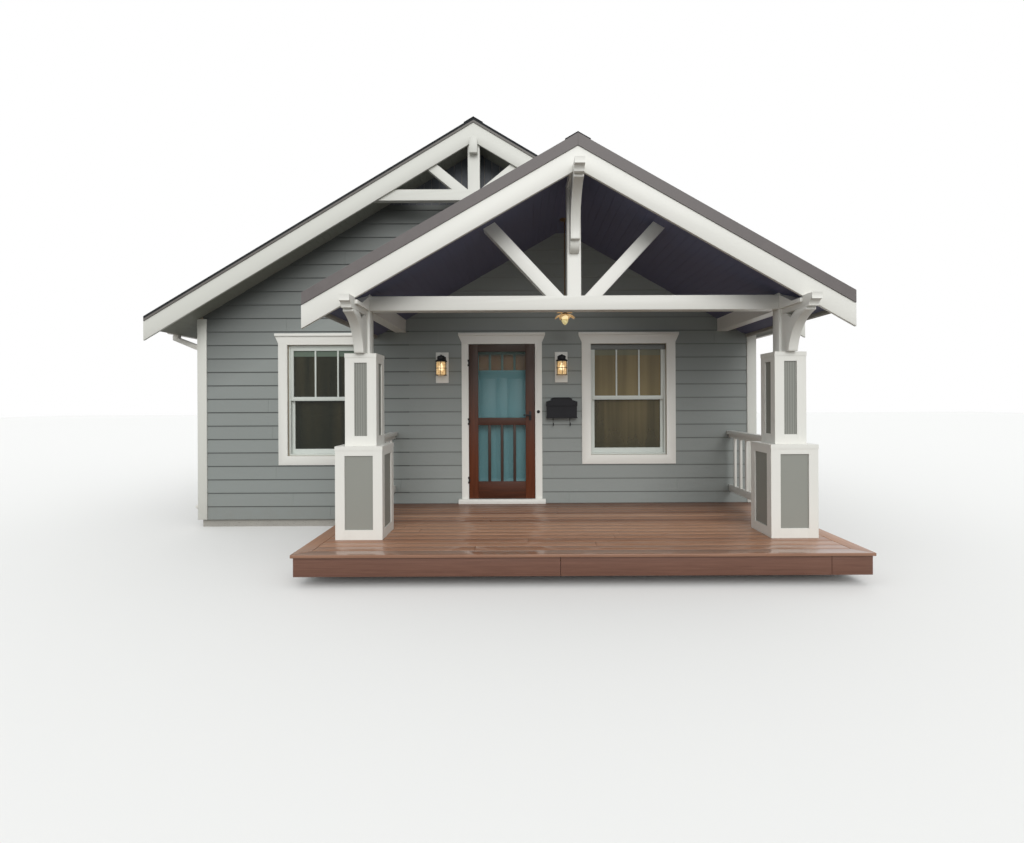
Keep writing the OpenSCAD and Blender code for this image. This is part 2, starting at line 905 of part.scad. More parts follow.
// The crossbeam, its king post and its two braces
module porch_truss() {
    half = pier_half - beam_w / 2;
    angle = atan(brace_rise / (brace_head - brace_foot));
    color("#e2dfd8") porch() along_y(-pier_y - beam_w / 2, -pier_y + beam_w / 2)
        intersection() {
            under_slopes(ceiling_apex, porch_rise, beam_z);
            union() {
                translate([-half, beam_z]) square([2 * half, crossbeam_h]);
                translate([-post_w / 2, beam_z])
                    square([post_w, ridge_beam_z - beam_z]);
                for (side = [-1, 1]) scale([side, 1])
                    translate([brace_foot, beam_z + crossbeam_h]) rotate(angle)
                        translate([-crossbeam_h / 2, -brace_w / 2])
                            square([pier_spacing / 2, brace_w]);
            }
        }
}

// A bracket, h high, with a hollow front edge and a small window at the bolster's underside
module bracket_outline(h) {
    run = bracket_reach - bracket_foot;
    drop = bracket_h - bracket_tip;
    chord = norm([run, drop]);
    radius = (chord * chord / 4 + bracket_bow * bracket_bow) / (2 * bracket_bow);
    shift = (radius - bracket_bow) / chord;
    centre = [-(bracket_foot + run / 2 + drop * shift), -(bracket_tip + drop / 2 + run * shift)];
    window_end = -bracket_leg - bracket_window_w;
    difference() {
        translate([-bracket_reach, -h]) square([bracket_reach, h]);
        translate(centre) circle(radius, $fn = 120);
        polygon([[-bracket_leg, 0], [-bracket_leg, overlap], [window_end, overlap], [window_end, 0],
            [-bracket_leg - bracket_window_w / 2, -bracket_window_h]]);
    }
}

// A knee bracket on the front of a post, under a beam's bolster
module knee_bracket(x, low_of_beam, h) {
    translate([0, post_front, low_of_beam - bolster_h])
        along_x(x - bracket_w / 2, x + bracket_w / 2) bracket_outline(h);
}

// A block with a rounded foot that carries the middle bracket
module corbel() {
    depth = corbel_d;
    translate([0, post_front, ridge_beam_z - bolster_h - middle_bracket_h])
        along_x(-bracket_w / 2, bracket_w / 2) intersection() {
            union() {
                translate([-depth, -corbel_h + depth]) square([depth, corbel_h - depth]);
                translate([0, -corbel_h + depth]) circle(depth);
            }
            translate([-depth, -corbel_h]) square([depth, corbel_h]);
        }
}

module knee_brackets() {
    color("#dedbd3") porch() {
        knee_bracket(-pier_half, beam_z, bracket_h);
        knee_bracket(pier_half, beam_z, bracket_h);
        union() {
            knee_bracket(0, ridge_beam_z, middle_bracket_h);
            corbel();
        }
    }
}

module porch_roof_half(side) {
    along_y(-porch_roof_d + porch_rake_t, 0)
        slope(side, ceiling_apex, porch_rake_apex, porch_rise, porch_eave - fascia_t);
}

module porch_roof_left() {
    color("#2a2830") porch() porch_roof_half(-1);
}

module porch_roof_right() {
    color("#2a2830") porch() porch_roof_half(1);
}

module porch_shingle_half(side) {
    along_y(-porch_roof_d - shingle_lip, 0)
        slope(side, porch_rake_apex, porch_shingle_apex, porch_rise, porch_rake_end);
}

module porch_shingles_left() {
    color("#696262") porch() porch_shingle_half(-1);
}

module porch_shingles_right() {
    color("#696262") porch() porch_shingle_half(1);
}

module porch_rake_boards() {
    color("#e2dfd8") porch() porch_rake_board();
}

// A railing from the house to the back of a pier's base, notched over the pier's cap
module railing() {
    length = pier_y - pier_base_w / 2;
    bays = ceil(length / baluster_pitch);
    step = length / bays;
    cap_z = deck_h + rail_top - rail_cap_t;
    rail_z = deck_h + rail_foot;
    x = -pier_half - rail_out;
    pier_cap = pier_base_w / 2 + pier_cap_lip;
    difference() {
        union() {
            block([x - rail_cap_w / 2, -length, cap_z],
                [x + rail_cap_w / 2, 0, cap_z + rail_cap_t]);
            block([x - rail_bottom_t / 2, -length, cap_z - rail_bottom_h / 2],
                [x + rail_bottom_t / 2, 0, cap_z]);
            block([x - rail_bottom_t / 2, -length, rail_z],
                [x + rail_bottom_t / 2, 0, rail_z + rail_bottom_h]);
            for (i = [1 : bays - 1])
                translate([x - baluster_w / 2, -i * step - baluster_w / 2, rail_z])
                    cube([baluster_w, baluster_w, cap_z - rail_z]);
        }
        translate([-pier_half, -pier_y, pier_base_top])
            block([-pier_cap, -pier_cap, -pier_cap_t], [pier_cap, pier_cap, 0]);
    }
}

module porch_railings() {
    color("#e2dfd8") porch() both_sides() railing();
}

// A rectangle with an opening, as an outline in X and Z
module ring(low, high, stile, foot_rail, head_rail) {
    difference() {
        translate(low) square(high - low);
        translate(low + [stile, foot_rail])
            square(high - low - [2 * stile, foot_rail + head_rail]);
    }
}

// A double-hung window: frame, two sashes and the upper sash's bars
module window_frame() {
    half = window_w / 2;
    sash = half - window_frame_w;
    bars = 2;
    lite = (2 * (sash - sash_w) + glazing_bar_w) / (bars + 1);
    union() {
        along_y(wall_t * 0.15, wall_t * 0.85)
            ring([-half, window_foot], [half, head_z], window_frame_w, window_frame_w,
                window_frame_w);
        along_y(wall_t * 0.2, wall_t * 0.45)
            ring([-sash, meeting_z - meeting_rail_h / 2], [sash, head_z - window_frame_w],
                sash_w, meeting_rail_h, sash_head_h);
        along_y(wall_t * 0.45, wall_t * 0.7)
            ring([-sash, window_foot + window_frame_w],
                [sash, meeting_z + meeting_rail_h / 2],
                sash_w, sash_foot_h, meeting_rail_h);
        for (i = [1 : bars])
            along_y(wall_t * 0.22, wall_t * 0.43)
                translate([-sash + sash_w - glazing_bar_w + lite * i, meeting_z])
                    square([glazing_bar_w, head_z - window_frame_w - sash_head_h / 2 - meeting_z]);
    }
}

module window_frames() {
    color("#e6e4de") house() at_all_windows() window_frame();
}

// The panes stand between the bars, so the upper sash has one for each lite
module window_panes() {
    sash = window_w / 2 - window_frame_w - sash_w;
    bars = 2;
    lite = (2 * sash + glazing_bar_w) / (bars + 1);
    low = meeting_z + meeting_rail_h / 2;
    for (i = [0 : bars])
        block([-sash + lite * i, wall_t * 0.325 - glass_t / 2, low],
            [-sash + lite * (i + 1) - glazing_bar_w, wall_t * 0.325 + glass_t / 2,
                head_z - window_frame_w - sash_head_h]);
    block([-sash, wall_t * 0.575 - glass_t / 2, window_foot + window_frame_w + sash_foot_h],
        [sash, wall_t * 0.575 + glass_t / 2, meeting_z - meeting_rail_h / 2]);
}

module window_glass() {
    color("#45504f", 0.4) house() at_all_windows() window_panes();
}

// Casings round an opening, with a head whose crown spreads at its ends
module casing_outline(half, side_w, low, foot_h) {
    outer = half + side_w;
    difference() {
        union() {
            translate([-outer, low]) square([2 * outer, head_z - low]);
            polygon([[-outer, head_z], [-outer, head_z + 20],
                [-outer - crown_out, head_z + head_casing_h - crown_h],
                [-outer - crown_out, head_z + head_casing_h],
                [outer + crown_out, head_z + head_casing_h],
                [outer + crown_out, head_z + head_casing_h - crown_h],
                [outer, head_z + 20], [outer, head_z]]);
        }
        translate([-half, low + foot_h]) square([2 * half, head_z - low - foot_h]);
    }
}

// The casing board and the thicker crown band along its head
module casing(half, side_w, low, foot_h) {
    outer = half + side_w + crown_out;
    crown_t = trim_t + crown_h / 2;
    union() {
        along_y(-trim_t, 0) casing_outline(half, side_w, low, foot_h);
        block([-outer, -crown_t, head_z + head_casing_h - crown_h],
            [outer, 0, head_z + head_casing_h]);
    }
}

// The crowns of the front windows end against the porch's roof
module window_casings() {
    color("#e2dfd8") difference() {
        house() at_all_windows()
            casing(window_w / 2, casing_w, window_foot - casing_w, casing_w);
        porch() porch_against_wall();
    }
}

// Jambs, head and floor plate in the wall's thickness
module door_frame() {
    half = door_w / 2;
    color("#ded9cc") house() translate([door_x, 0, 0]) along_y(0, wall_t)
        ring([-half - jamb_t, floor_h - jamb_t], [half + jamb_t, head_z + jamb_t],
            jamb_t, jamb_t, jamb_t);
}

// Casings that stand on a sill, which lies on the deck
module door_casing() {
    half = door_w / 2;
    sill_half = half + door_casing_w + crown_out;
    sill_out = 70;
    color("#e2dfd8") house() translate([door_x, 0, 0]) union() {
        casing(half, door_casing_w, floor_h, 0);
        block([-sill_half, -sill_out, deck_h], [sill_half, 0, floor_h]);
    }
}

// A knuckle of a hinge and the plate that carries it, on one side of the pin
module knuckle(side, low, high, y, plate_y) {
    translate([hinge_x, y, low]) cylinder(r = knuckle_r, h = high - low);
    x = side < 0 ? hinge_x - hinge_plate_w : hinge_x;
    block([x, min(y, plate_y), low], [x + hinge_plate_w,
        max(y, plate_y), high]);
}

// The fixed knuckles above and below each moving one
module fixed_hinge(z, y, plate_y) {
    for (way = [-1, 1]) {
        near = z + way * (knuckle_h / 2 + knuckle_gap);
        far = near + way * knuckle_h * 0.7;
        knuckle(-1, min(near, far), max(near, far), y, plate_y);
    }
}

module door_hinges() {
    color("#3a3531") house() for (spot = hinge_spots) {
        z = door_foot + door_leaf_h * spot;
        fixed_hinge(z, screen_hinge_y, -trim_t);
        fixed_hinge(z, entry_hinge_y, wall_t);
    }
}

module moving_knuckles(y, plate_y) {
    for (spot = hinge_spots) {
        z = door_foot + door_leaf_h * spot;
        knuckle(1, z - knuckle_h / 2, z + knuckle_h / 2, y, plate_y);
    }
}

// Stiles, rails and slats, with the pull on the right
module screen_door() {
    top = door_foot + door_leaf_h;
    mid_top = floor_h + screen_mid_z;
    mid_low = mid_top - screen_mid;
    low_end = door_foot + screen_bottom;
    field = door_leaf_w - 2 * screen_stile;
    step = (field + slat_w) / (slats + 1);
    color("#4e281c") house() union() {
        along_y(screen_y, screen_y + screen_t) translate([door_left, 0]) {
            ring([0, mid_low], [door_leaf_w, top], screen_stile, screen_mid, screen_top);
            ring([0, door_foot], [door_leaf_w, mid_top], screen_stile, screen_bottom,
                screen_mid);
            for (i = [1 : slats])
                translate([screen_stile - slat_w + step * i, low_end - overlap])
                    square([slat_w, mid_low - low_end + 2 * overlap]);
        }
        moving_knuckles(screen_hinge_y, screen_y);
        screen_pull();
    }
}

// A back plate with a turned lever on the latch stile
module screen_pull() {
    x = door_left + door_leaf_w - screen_stile / 2;
    z = floor_h + handle_z;
    block([x - 16, screen_y - 4, z - 70], [x + 16, screen_y + overlap, z + 50]);
    translate([x, screen_y, z]) rotate([90, 0, 0]) cylinder(r = 9, h = 46);
    block([x - 90, screen_y - 50, z - 9], [x + 9, screen_y - 36, z + 9]);
}

// Sheets of cloth in the upper and lower fields of the screen door
module screen_mesh() {
    y = screen_y + screen_t * 0.6;
    left = door_left + screen_stile;
    right = door_left + door_leaf_w - screen_stile;
    mid_top = floor_h + screen_mid_z;
    low = door_foot + screen_bottom;
    field = door_leaf_w - 2 * screen_stile;
    step = (field + slat_w) / (slats + 1);
    color("#50585a", 0.5) house() {
        block([left, y, mid_top], [right, y + mesh_t, door_foot + door_leaf_h - screen_top]);
        for (i = [0 : slats])
            block([left + step * i, y, low],
                [left + step * (i + 1) - slat_w, y + mesh_t, mid_top - screen_mid]);
    }
}

// Heights of the entry door's lites and panels
function lite_top() = door_foot + door_leaf_h - entry_top;
function lite_low() = lite_top() - lite_h;
function panel_top() = lite_low() - entry_shelf;

// A panelled leaf with a row of lites at its head and a shelf below them
module entry_door() {
    field = door_leaf_w - 2 * entry_stile;
    lite_step = (field + entry_bar / 2) / lites;
    panel_w = (field - entry_mullion) / 2;
    low = door_foot + entry_bottom;
    color("#55807f") house() union() {
        difference() {
            block([door_left, entry_y, door_foot],
                [door_left + door_leaf_w, wall_t, door_foot + door_leaf_h]);
            for (i = [0 : lites - 1])
                block([door_left + entry_stile + lite_step * i, entry_y - overlap, lite_low()],
                    [door_left + entry_stile + lite_step * (i + 1) - entry_bar / 2,
                        wall_t + overlap, lite_top()]);
            for (i = [0, 1], y = [entry_y - overlap, wall_t - panel_sink])
                block([door_left + entry_stile + (panel_w + entry_mullion) * i, y, low],
                    [door_left + entry_stile + (panel_w + entry_mullion) * i + panel_w,
                        y + panel_sink + overlap, panel_top()]);
        }
        block([door_left + entry_stile - 30, entry_y - 22, lite_low() - 34],
            [door_left + door_leaf_w - entry_stile + 30, entry_y + overlap, lite_low() - 8]);
        moving_knuckles(entry_hinge_y, wall_t);
        entry_knobs();
    }
}

// A round knob on each face of the entry door, clear of the screen door
module entry_knobs() {
    x = door_left + door_leaf_w - entry_stile / 2;
    z = floor_h + handle_z - 120;
    translate([x, wall_t + 58, z]) rotate([90, 0, 0]) cylinder(r = 9, h = entry_t + 116);
    for (y = [wall_t + 62, entry_y - 40])
        translate([x, y, z]) rotate([90, 0, 0]) cylinder(r = 26, h = 22);
}

module entry_door_glass() {
    field = door_leaf_w - 2 * entry_stile;
    step = (field + entry_bar / 2) / lites;
    y = (entry_y + wall_t) / 2;
    color("#4a4038", 0.5) house() for (i = [0 : lites - 1])
        block([door_left + entry_stile + step * i, y - glass_t / 2, lite_low()],
            [door_left + entry_stile + step * (i + 1) - entry_bar / 2, y + glass_t / 2,
                lite_top()]);
}

// Places the children at both lanterns, beside the doorway
module at_lanterns() {
    for (side = [-1, 1]) translate([door_x + side * lantern_out, 0, 0]) children();
}

module lantern_blocks() {
    color("#e2dfd8") house() at_lanterns()
        block([-lantern_block_w / 2, -trim_t, lantern_block_z],
            [lantern_block_w / 2, 0, lantern_block_z + lantern_block_h]);
}

// Heights of a lantern's parts, from its cap down
lantern_top = lantern_block_z + lantern_block_h - 40;
jar_top = lantern_top - lantern_h * 0.28;
jar_low = lantern_top - lantern_h * 0.9;

// Back plate, arm, cap and foot ring
module lanterns() {
    color("#1c1c1e") house() at_lanterns() union() {
        block([-50, -trim_t - 14, lantern_top - lantern_h * 0.8],
            [50, -trim_t, lantern_top - 20]);
        block([-11, -lantern_reach, jar_top + 20], [11, -trim_t, jar_top + 42]);
        translate([0, -lantern_reach, jar_top])
            cylinder(r = jar_r + 6, h = lantern_top - jar_top - 18);
        translate([0, -lantern_reach, lantern_top - 50])
            cylinder(r1 = lantern_cap_w / 2, r2 = lantern_cap_w / 4, h = 50);
    }
}

// Glass jars, closed at the foot and open under their caps
module lantern_jars() {
    wall = 4;
    color("#fff0c8", 0.5) house() at_lanterns() translate([0, -lantern_reach, 0])
        difference() {
            translate([0, 0, jar_low]) cylinder(r = jar_r, h = jar_top - jar_low);
            translate([0, 0, jar_low + wall])
                cylinder(r = jar_r - wall, h = jar_top - jar_low);
        }
}

// A rod from the porch's ridge board with a faceted lamp at its foot
module porch_pendant() {
    middle = pendant_z + pendant_h / 2;
    neck = pendant_r * 0.35;
    rod_r = 7;
    rose_r = 60;
    rose_h = 26;
    color("#b08d4a") porch() translate([0, -pendant_out, 0]) union() {
        translate([0, 0, ridge_board_z - rose_h]) cylinder(r = rose_r, h = rose_h);
        translate([0, 0, middle]) cylinder(r = rod_r, h = ridge_board_z - middle);
        translate([0, 0, pendant_z])
            cylinder(r1 = neck, r2 = pendant_r, h = pendant_h / 2, $fn = 8);
        translate([0, 0, middle])
            cylinder(r1 = pendant_r, r2 = neck, h = pendant_h / 2, $fn = 8);
    }
}

// A box with an arched lid, a back that rises above it and two hooks below
module mailbox() {
    x = door_x + lantern_out;
    half = mailbox_w / 2;
    rise = 38;
    side_h = mailbox_h - rise - 2;
    back_h = mailbox_h + 36;
    back_t = 8;
    hook_r = 50;
    hook_t = 8;
    hook_drop = 60;
    hook_x = half * 0.55;
    radius = (half * half + rise * rise) / (2 * rise);
    color("#2d2d2d") house() translate([x, 0, 0]) union() {
        along_y(-mailbox_d, 0) translate([0, mailbox_z]) intersection() {
            translate([-half, 0]) square([mailbox_w, mailbox_h]);
            translate([0, side_h + rise - radius]) circle(radius);
        }
        along_y(-back_t, 0) translate([0, mailbox_z]) intersection() {
            translate([-half, 0]) square([mailbox_w, back_h]);
            translate([0, back_h - radius]) circle(radius);
        }
        for (side = [-1, 1]) along_x(side * hook_x - hook_t / 2, side * hook_x + hook_t / 2)
            translate([-hook_r - hook_t, mailbox_z - hook_drop]) difference() {
                union() {
                    circle(hook_r);
                    translate([hook_r - hook_t, 0]) square([hook_t, hook_drop + overlap]);
                }
                circle(hook_r - hook_t);
                translate([-hook_r, 0]) square([2 * hook_r - hook_t, hook_r]);
            }
    }
}

foundation();
house_floor();
front_wall_left();
front_wall_right();
front_wall_over_door();
front_gable();
left_wall();
right_wall();
rear_wall();
rear_gable();
corner_boards();
main_roof_left();
main_roof_right();
main_shingles_left();
main_shingles_right();
ridge_caps();
main_rake_boards();
eave_fascias();
gutters();
downspouts();
gable_truss();
gable_panel();
porch_deck();
deck_frame();
deck_fascia();
pier_panels();
pier_trim();
porch_posts();
porch_beams();
porch_ridge_board();
porch_truss();
knee_brackets();
porch_roof_left();
porch_roof_right();
porch_shingles_left();
porch_shingles_right();
porch_rake_boards();
porch_railings();
window_frames();
window_glass();
window_casings();
door_frame();
door_casing();
door_hinges();
screen_door();
screen_mesh();
entry_door();
entry_door_glass();
lantern_blocks();
lanterns();
lantern_jars();
porch_pendant();
mailbox();
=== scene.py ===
"""Looks of the bungalow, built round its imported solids.

Lengths are metres in the part's own frame: the porch faces -Y, Z 0 is the
ground, and X 0 is the middle of the house. Each sub-assembly is a class that
holds its sizes, builds its meshes and dresses them.
"""

import logging
import math
import random
from dataclasses import dataclass
from enum import Enum
from itertools import pairwise
from typing import Callable, Iterable, Iterator, Optional, Sequence, Union

import bmesh
import bpy
from mathutils import Matrix, Vector


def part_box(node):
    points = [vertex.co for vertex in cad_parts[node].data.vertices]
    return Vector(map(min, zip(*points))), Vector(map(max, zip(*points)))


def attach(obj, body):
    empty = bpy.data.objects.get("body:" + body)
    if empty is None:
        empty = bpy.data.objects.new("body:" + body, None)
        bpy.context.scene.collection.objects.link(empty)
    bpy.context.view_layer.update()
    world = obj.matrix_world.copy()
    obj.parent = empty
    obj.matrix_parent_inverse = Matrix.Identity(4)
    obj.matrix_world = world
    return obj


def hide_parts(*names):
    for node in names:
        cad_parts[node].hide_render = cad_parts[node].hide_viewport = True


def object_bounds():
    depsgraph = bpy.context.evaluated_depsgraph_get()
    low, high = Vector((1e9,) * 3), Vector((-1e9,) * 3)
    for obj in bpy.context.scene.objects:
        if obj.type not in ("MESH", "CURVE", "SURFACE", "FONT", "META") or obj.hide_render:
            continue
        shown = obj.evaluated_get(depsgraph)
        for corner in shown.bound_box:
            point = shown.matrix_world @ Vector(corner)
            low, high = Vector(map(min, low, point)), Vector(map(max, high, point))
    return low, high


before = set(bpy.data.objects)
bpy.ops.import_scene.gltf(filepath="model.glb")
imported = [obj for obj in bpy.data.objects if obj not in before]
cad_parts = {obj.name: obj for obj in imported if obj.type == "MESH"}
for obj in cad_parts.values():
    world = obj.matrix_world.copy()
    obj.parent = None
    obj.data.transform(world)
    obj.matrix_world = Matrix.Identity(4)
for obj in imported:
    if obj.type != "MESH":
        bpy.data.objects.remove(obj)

LOG = logging.getLogger("bungalow")
CAD_LOW, CAD_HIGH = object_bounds()

# Places and sizes that several parts share
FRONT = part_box("front_wall_left")[0].y
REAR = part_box("rear_wall")[1].y
PORCH_X = sum(corner.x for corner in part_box("porch_deck")) / 2
DOOR_X = 0.33
CASING = 0.025
PIER_SPACING = 4.268
MAIN_RISE, PORCH_RISE = 0.597, 0.572
CEILING_TOP = 3.9264
LAP, LAP_FOOT = 0.178, 0.2755
SHINGLE = 0.142
SIDES = (-1, 1)

Colour = tuple[float, float, float, float]
Point = Sequence[float]
Profile = Sequence[tuple[float, float]]


def paint(red: int, green: int, blue: int) -> Colour:
    """Turns a colour as a screen shows it into the shader's linear colour.

    Args:
        red: The red part, 0 to 255.
        green: The green part.
        blue: The blue part.

    Returns:
        The linear colour, opaque.
    """
    shares = (value / 255 for value in (red, green, blue))
    return (*(share / 12.92 if share <= 0.04045 else ((share + 0.055) / 1.055) ** 2.4
              for share in shares), 1.0)


def shade(colour: Colour, factor: float) -> Colour:
    """Makes a colour lighter or darker by a factor."""
    return (*(min(part * factor, 1) for part in colour[:3]), colour[3])


class Axis(Enum):
    """The way that a board runs, as the X, Y and Z factors of its grain."""

    X = (1.0, 26.0, 26.0)
    Y = (26.0, 1.0, 26.0)
    Z = (26.0, 26.0, 1.0)


def operator(operation: str, reflected: bool = False) -> Callable[["Signal", "Number"], "Signal"]:
    """Makes the method behind one of Python's operators.

    Args:
        operation: The Math node's operation.
        reflected: True where the signal stands second.

    Returns:
        The method.
    """
    def method(self: "Signal", other: "Number") -> "Signal":
        """Adds the operation's Math node."""
        return self.calculate(operation, *((other, self) if reflected else (self, other)))

    return method


class Signal:
    """A shader socket that takes part in sums and adds its Math nodes itself."""

    def __init__(self, tree: "Tree", socket: bpy.types.NodeSocket) -> None:
        """Keeps the socket and the tree that its nodes go into."""
        self.tree = tree
        self.socket = socket

    def calculate(self, operation: str, first: "Number", second: "Number" = 0.0) -> "Signal":
        """Adds one Math node.

        Args:
            operation: The Math node's operation.
            first: The first number or signal.
            second: The second number or signal.

        Returns:
            The signal that leaves the node.
        """
        return self.tree.signal("ShaderNodeMath", {"operation": operation},
                                {0: first, 1: second})

    __add__, __radd__ = operator("ADD"), operator("ADD", True)
    __sub__, __rsub__ = operator("SUBTRACT"), operator("SUBTRACT", True)
    __mul__, __rmul__ = operator("MULTIPLY"), operator("MULTIPLY", True)
    __truediv__ = operator("DIVIDE")
    __gt__, __lt__ = operator("GREATER_THAN"), operator("LESS_THAN")

    def floor(self) -> "Signal":
        """Rounds down."""
        return self.calculate("FLOOR", self)

    def size(self) -> "Signal":
        """Drops the sign."""
        return self.calculate("ABSOLUTE", self)

    def sine(self) -> "Signal":
        """Takes the sine."""
        return self.calculate("SINE", self)

    def most(self, other: "Number") -> "Signal":
        """Takes the greater of two."""
        return self.calculate("MAXIMUM", self, other)

    def held(self, low: float = 0.0, high: float = 1.0) -> "Signal":
        """Keeps the signal between two numbers."""
        return self.calculate("MINIMUM", self.most(low), high)

    def climb(self, start: float, run: float) -> "Signal":
        """Goes from 0 at a start to 1 at the end of a run."""
        return ((self - start) / run).held()

    def fade(self, run: float) -> "Signal":
        """Goes from 1 at zero to 0 at the end of a run."""
        return (1 - self / run).held()


Number = Union[float, Signal]


class Tree:
    """A node tree and the one way that nodes come into it."""

    def __init__(self, tree: bpy.types.NodeTree) -> None:
        """Empties the tree."""
        self.tree = tree
        tree.nodes.clear()

    def fill(self, node: bpy.types.Node, sockets: dict) -> None:
        """Links or sets sockets of a node.

        Args:
            node: The node.
            sockets: Values or signals by socket name or number.
        """
        for key, value in sockets.items():
            if isinstance(value, Signal):
                self.tree.links.new(value.socket, node.inputs[key])
            else:
                node.inputs[key].default_value = value

    def node(self, kind: str, settings: Optional[dict] = None,
             sockets: Optional[dict] = None) -> bpy.types.Node:
        """Adds a node.

        Args:
            kind: The node's type.
            settings: Its own settings, set first; "stops" fills a colour ramp.
            sockets: Values or signals by socket name or number.

        Returns:
            The node.
        """
        node = self.tree.nodes.new(kind)
        for name, value in (settings or {}).items():
            if name == "stops":
                ramp = node.color_ramp
                while len(ramp.elements) < len(value):
                    ramp.elements.new(1.0)
                for element, (position, colour) in zip(ramp.elements, value):
                    element.position = position
                    element.color = colour
            else:
                setattr(node, name, value)
        self.fill(node, sockets or {})
        return node

    def signal(self, kind: str, settings: Optional[dict] = None, sockets: Optional[dict] = None,
               output: Union[int, str] = 0) -> Signal:
        """Adds a node and gives one of its outputs."""
        return Signal(self, self.node(kind, settings, sockets).outputs[output])


class Recipe(Tree):
    """A material's node tree round one Principled shader."""

    def __init__(self, name: str) -> None:
        """Starts a material with a bare Principled shader and its output.

        Args:
            name: The material's name.
        """
        self.material = bpy.data.materials.new(name)
        self.material.use_nodes = True
        super().__init__(self.material.node_tree)
        self.shader = self.node("ShaderNodeBsdfPrincipled")
        self.output = self.node("ShaderNodeOutputMaterial", {},
                                {"Surface": Signal(self, self.shader.outputs[0])})
        self.place = self.signal("ShaderNodeTexCoord", output="Object")

    def set(self, **sockets: Union[float, Colour, Signal]) -> None:
        """Sets sockets of the shader, with _ for a space in their names."""
        self.fill(self.shader, {name.replace("_", " "): value for name, value in sockets.items()})

    def along(self, axis: Axis, scale: float = 1.0) -> Signal:
        """Gives coordinates that are drawn out along an axis."""
        return self.signal("ShaderNodeMapping", {}, {
            "Vector": self.place, "Scale": tuple(scale * part for part in axis.value)})

    def noise(self, scale: float, detail: float = 3.0, rough: float = 0.5,
              place: Optional[Signal] = None, twist: float = 0.0) -> Signal:
        """Gives a smooth noise from 0 to 1."""
        return self.signal("ShaderNodeTexNoise", {}, {
            "Vector": place or self.place, "Scale": scale, "Detail": detail,
            "Roughness": rough, "Distortion": twist})

    def chance(self, number: Signal) -> Signal:
        """Gives one random value from 0 to 1 for each whole number."""
        return self.signal("ShaderNodeTexWhiteNoise", {"noise_dimensions": "1D"},
                           {"W": number.floor() + 0.5}, "Value")

    def part(self, axis: Axis) -> Signal:
        """Gives the X, Y or Z of the place."""
        return self.signal("ShaderNodeSeparateXYZ", {}, {0: self.place}, axis.name)

    def mix(self, first: Union[Colour, Signal], second: Union[Colour, Signal],
            share: Number) -> Signal:
        """Mixes two colours."""
        return self.signal("ShaderNodeMix", {"data_type": "RGBA"},
                           {0: share, 6: first, 7: second}, 2)

    def tones(self, colour: Colour, low: float, high: float, share: Number) -> Signal:
        """Mixes a colour times a low factor with the same colour times a high one."""
        return self.mix(shade(colour, low), shade(colour, high), share)

    def ramp(self, value: Signal, stops: Sequence[tuple[float, Colour]]) -> Signal:
        """Runs a value through a colour ramp."""
        return self.signal("ShaderNodeValToRGB", {"stops": stops}, {0: value})

    def bump(self, height: Signal, depth: float, strength: float = 1.0) -> Signal:
        """Turns a height from 0 to 1 into a normal, for a depth in metres."""
        return self.signal("ShaderNodeBump", {}, {
            "Height": height, "Distance": depth, "Strength": strength})


MADE: dict[str, bpy.types.Material] = {}


@dataclass(frozen=True)
class Finish:
    """A finish that can be put on any piece."""

    name: str

    def mix(self, recipe: Recipe) -> None:
        """Fills in the recipe of the finish's material; each kind has its own."""
        raise NotImplementedError

    def material(self) -> bpy.types.Material:
        """Makes the finish's material, but only once.

        Returns:
            The material.
        """
        if self.name not in MADE:
            recipe = Recipe(self.name)
            self.mix(recipe)
            MADE[self.name] = recipe.material
        return MADE[self.name]


@dataclass(frozen=True)
class Paint(Finish):
    """Brushed paint on boards, with a faint grain, a little splash dirt and painted shade above a
    head height.
    """

    colour: Colour
    axis: Axis = Axis.X
    gloss: float = 0.42
    drift: float = 0.08
    grain: float = 0.0009
    dirt: float = 0.25
    dirt_colour: Colour = paint(120, 106, 92)
    splash: float = 0.55
    # The head fields darken the paint above a head height under the porch, as painted shade.
    head: float = 99.0
    painted_head_shade: float = 0.18
    painted_shade_reach: float = 0.3

    def mix(self, recipe: Recipe) -> None:
        """Mixes slow drifts of tone with dirt near the ground and painted shade above a height
        under the porch.

        Args:
            recipe: The recipe to fill in.
        """
        drift = recipe.noise(0.9, 4.0, 0.55)
        streaks = recipe.noise(1.6, 5.0, 0.6, recipe.along(self.axis))
        tone = recipe.tones(self.colour, 1 - self.drift, 1 + self.drift,
                            (0.6 * drift + 0.4 * streaks).held())
        # Painted shade: above the head height, under the porch, the colour is darkened to stand in
        # for the shade there.
        painted_shade_zone = (recipe.part(Axis.X) > 0.0) * (recipe.part(Axis.Y) < FRONT + self.painted_shade_reach)
        tone = recipe.mix(tone, shade(self.colour, self.painted_head_shade),
                          (recipe.part(Axis.Z) > self.head) * painted_shade_zone)
        spatter = (recipe.noise(7.0, 6.0, 0.65) - 0.35).held()
        recipe.set(
            Base_Color=recipe.mix(tone, self.dirt_colour,
                                  recipe.part(Axis.Z).fade(self.splash) * spatter * self.dirt * 2),
            Roughness=(self.gloss - 0.06) + 0.14 * streaks,
            Normal=recipe.bump(streaks + 0.25 * recipe.noise(160.0, 2.0), self.grain, 0.6))


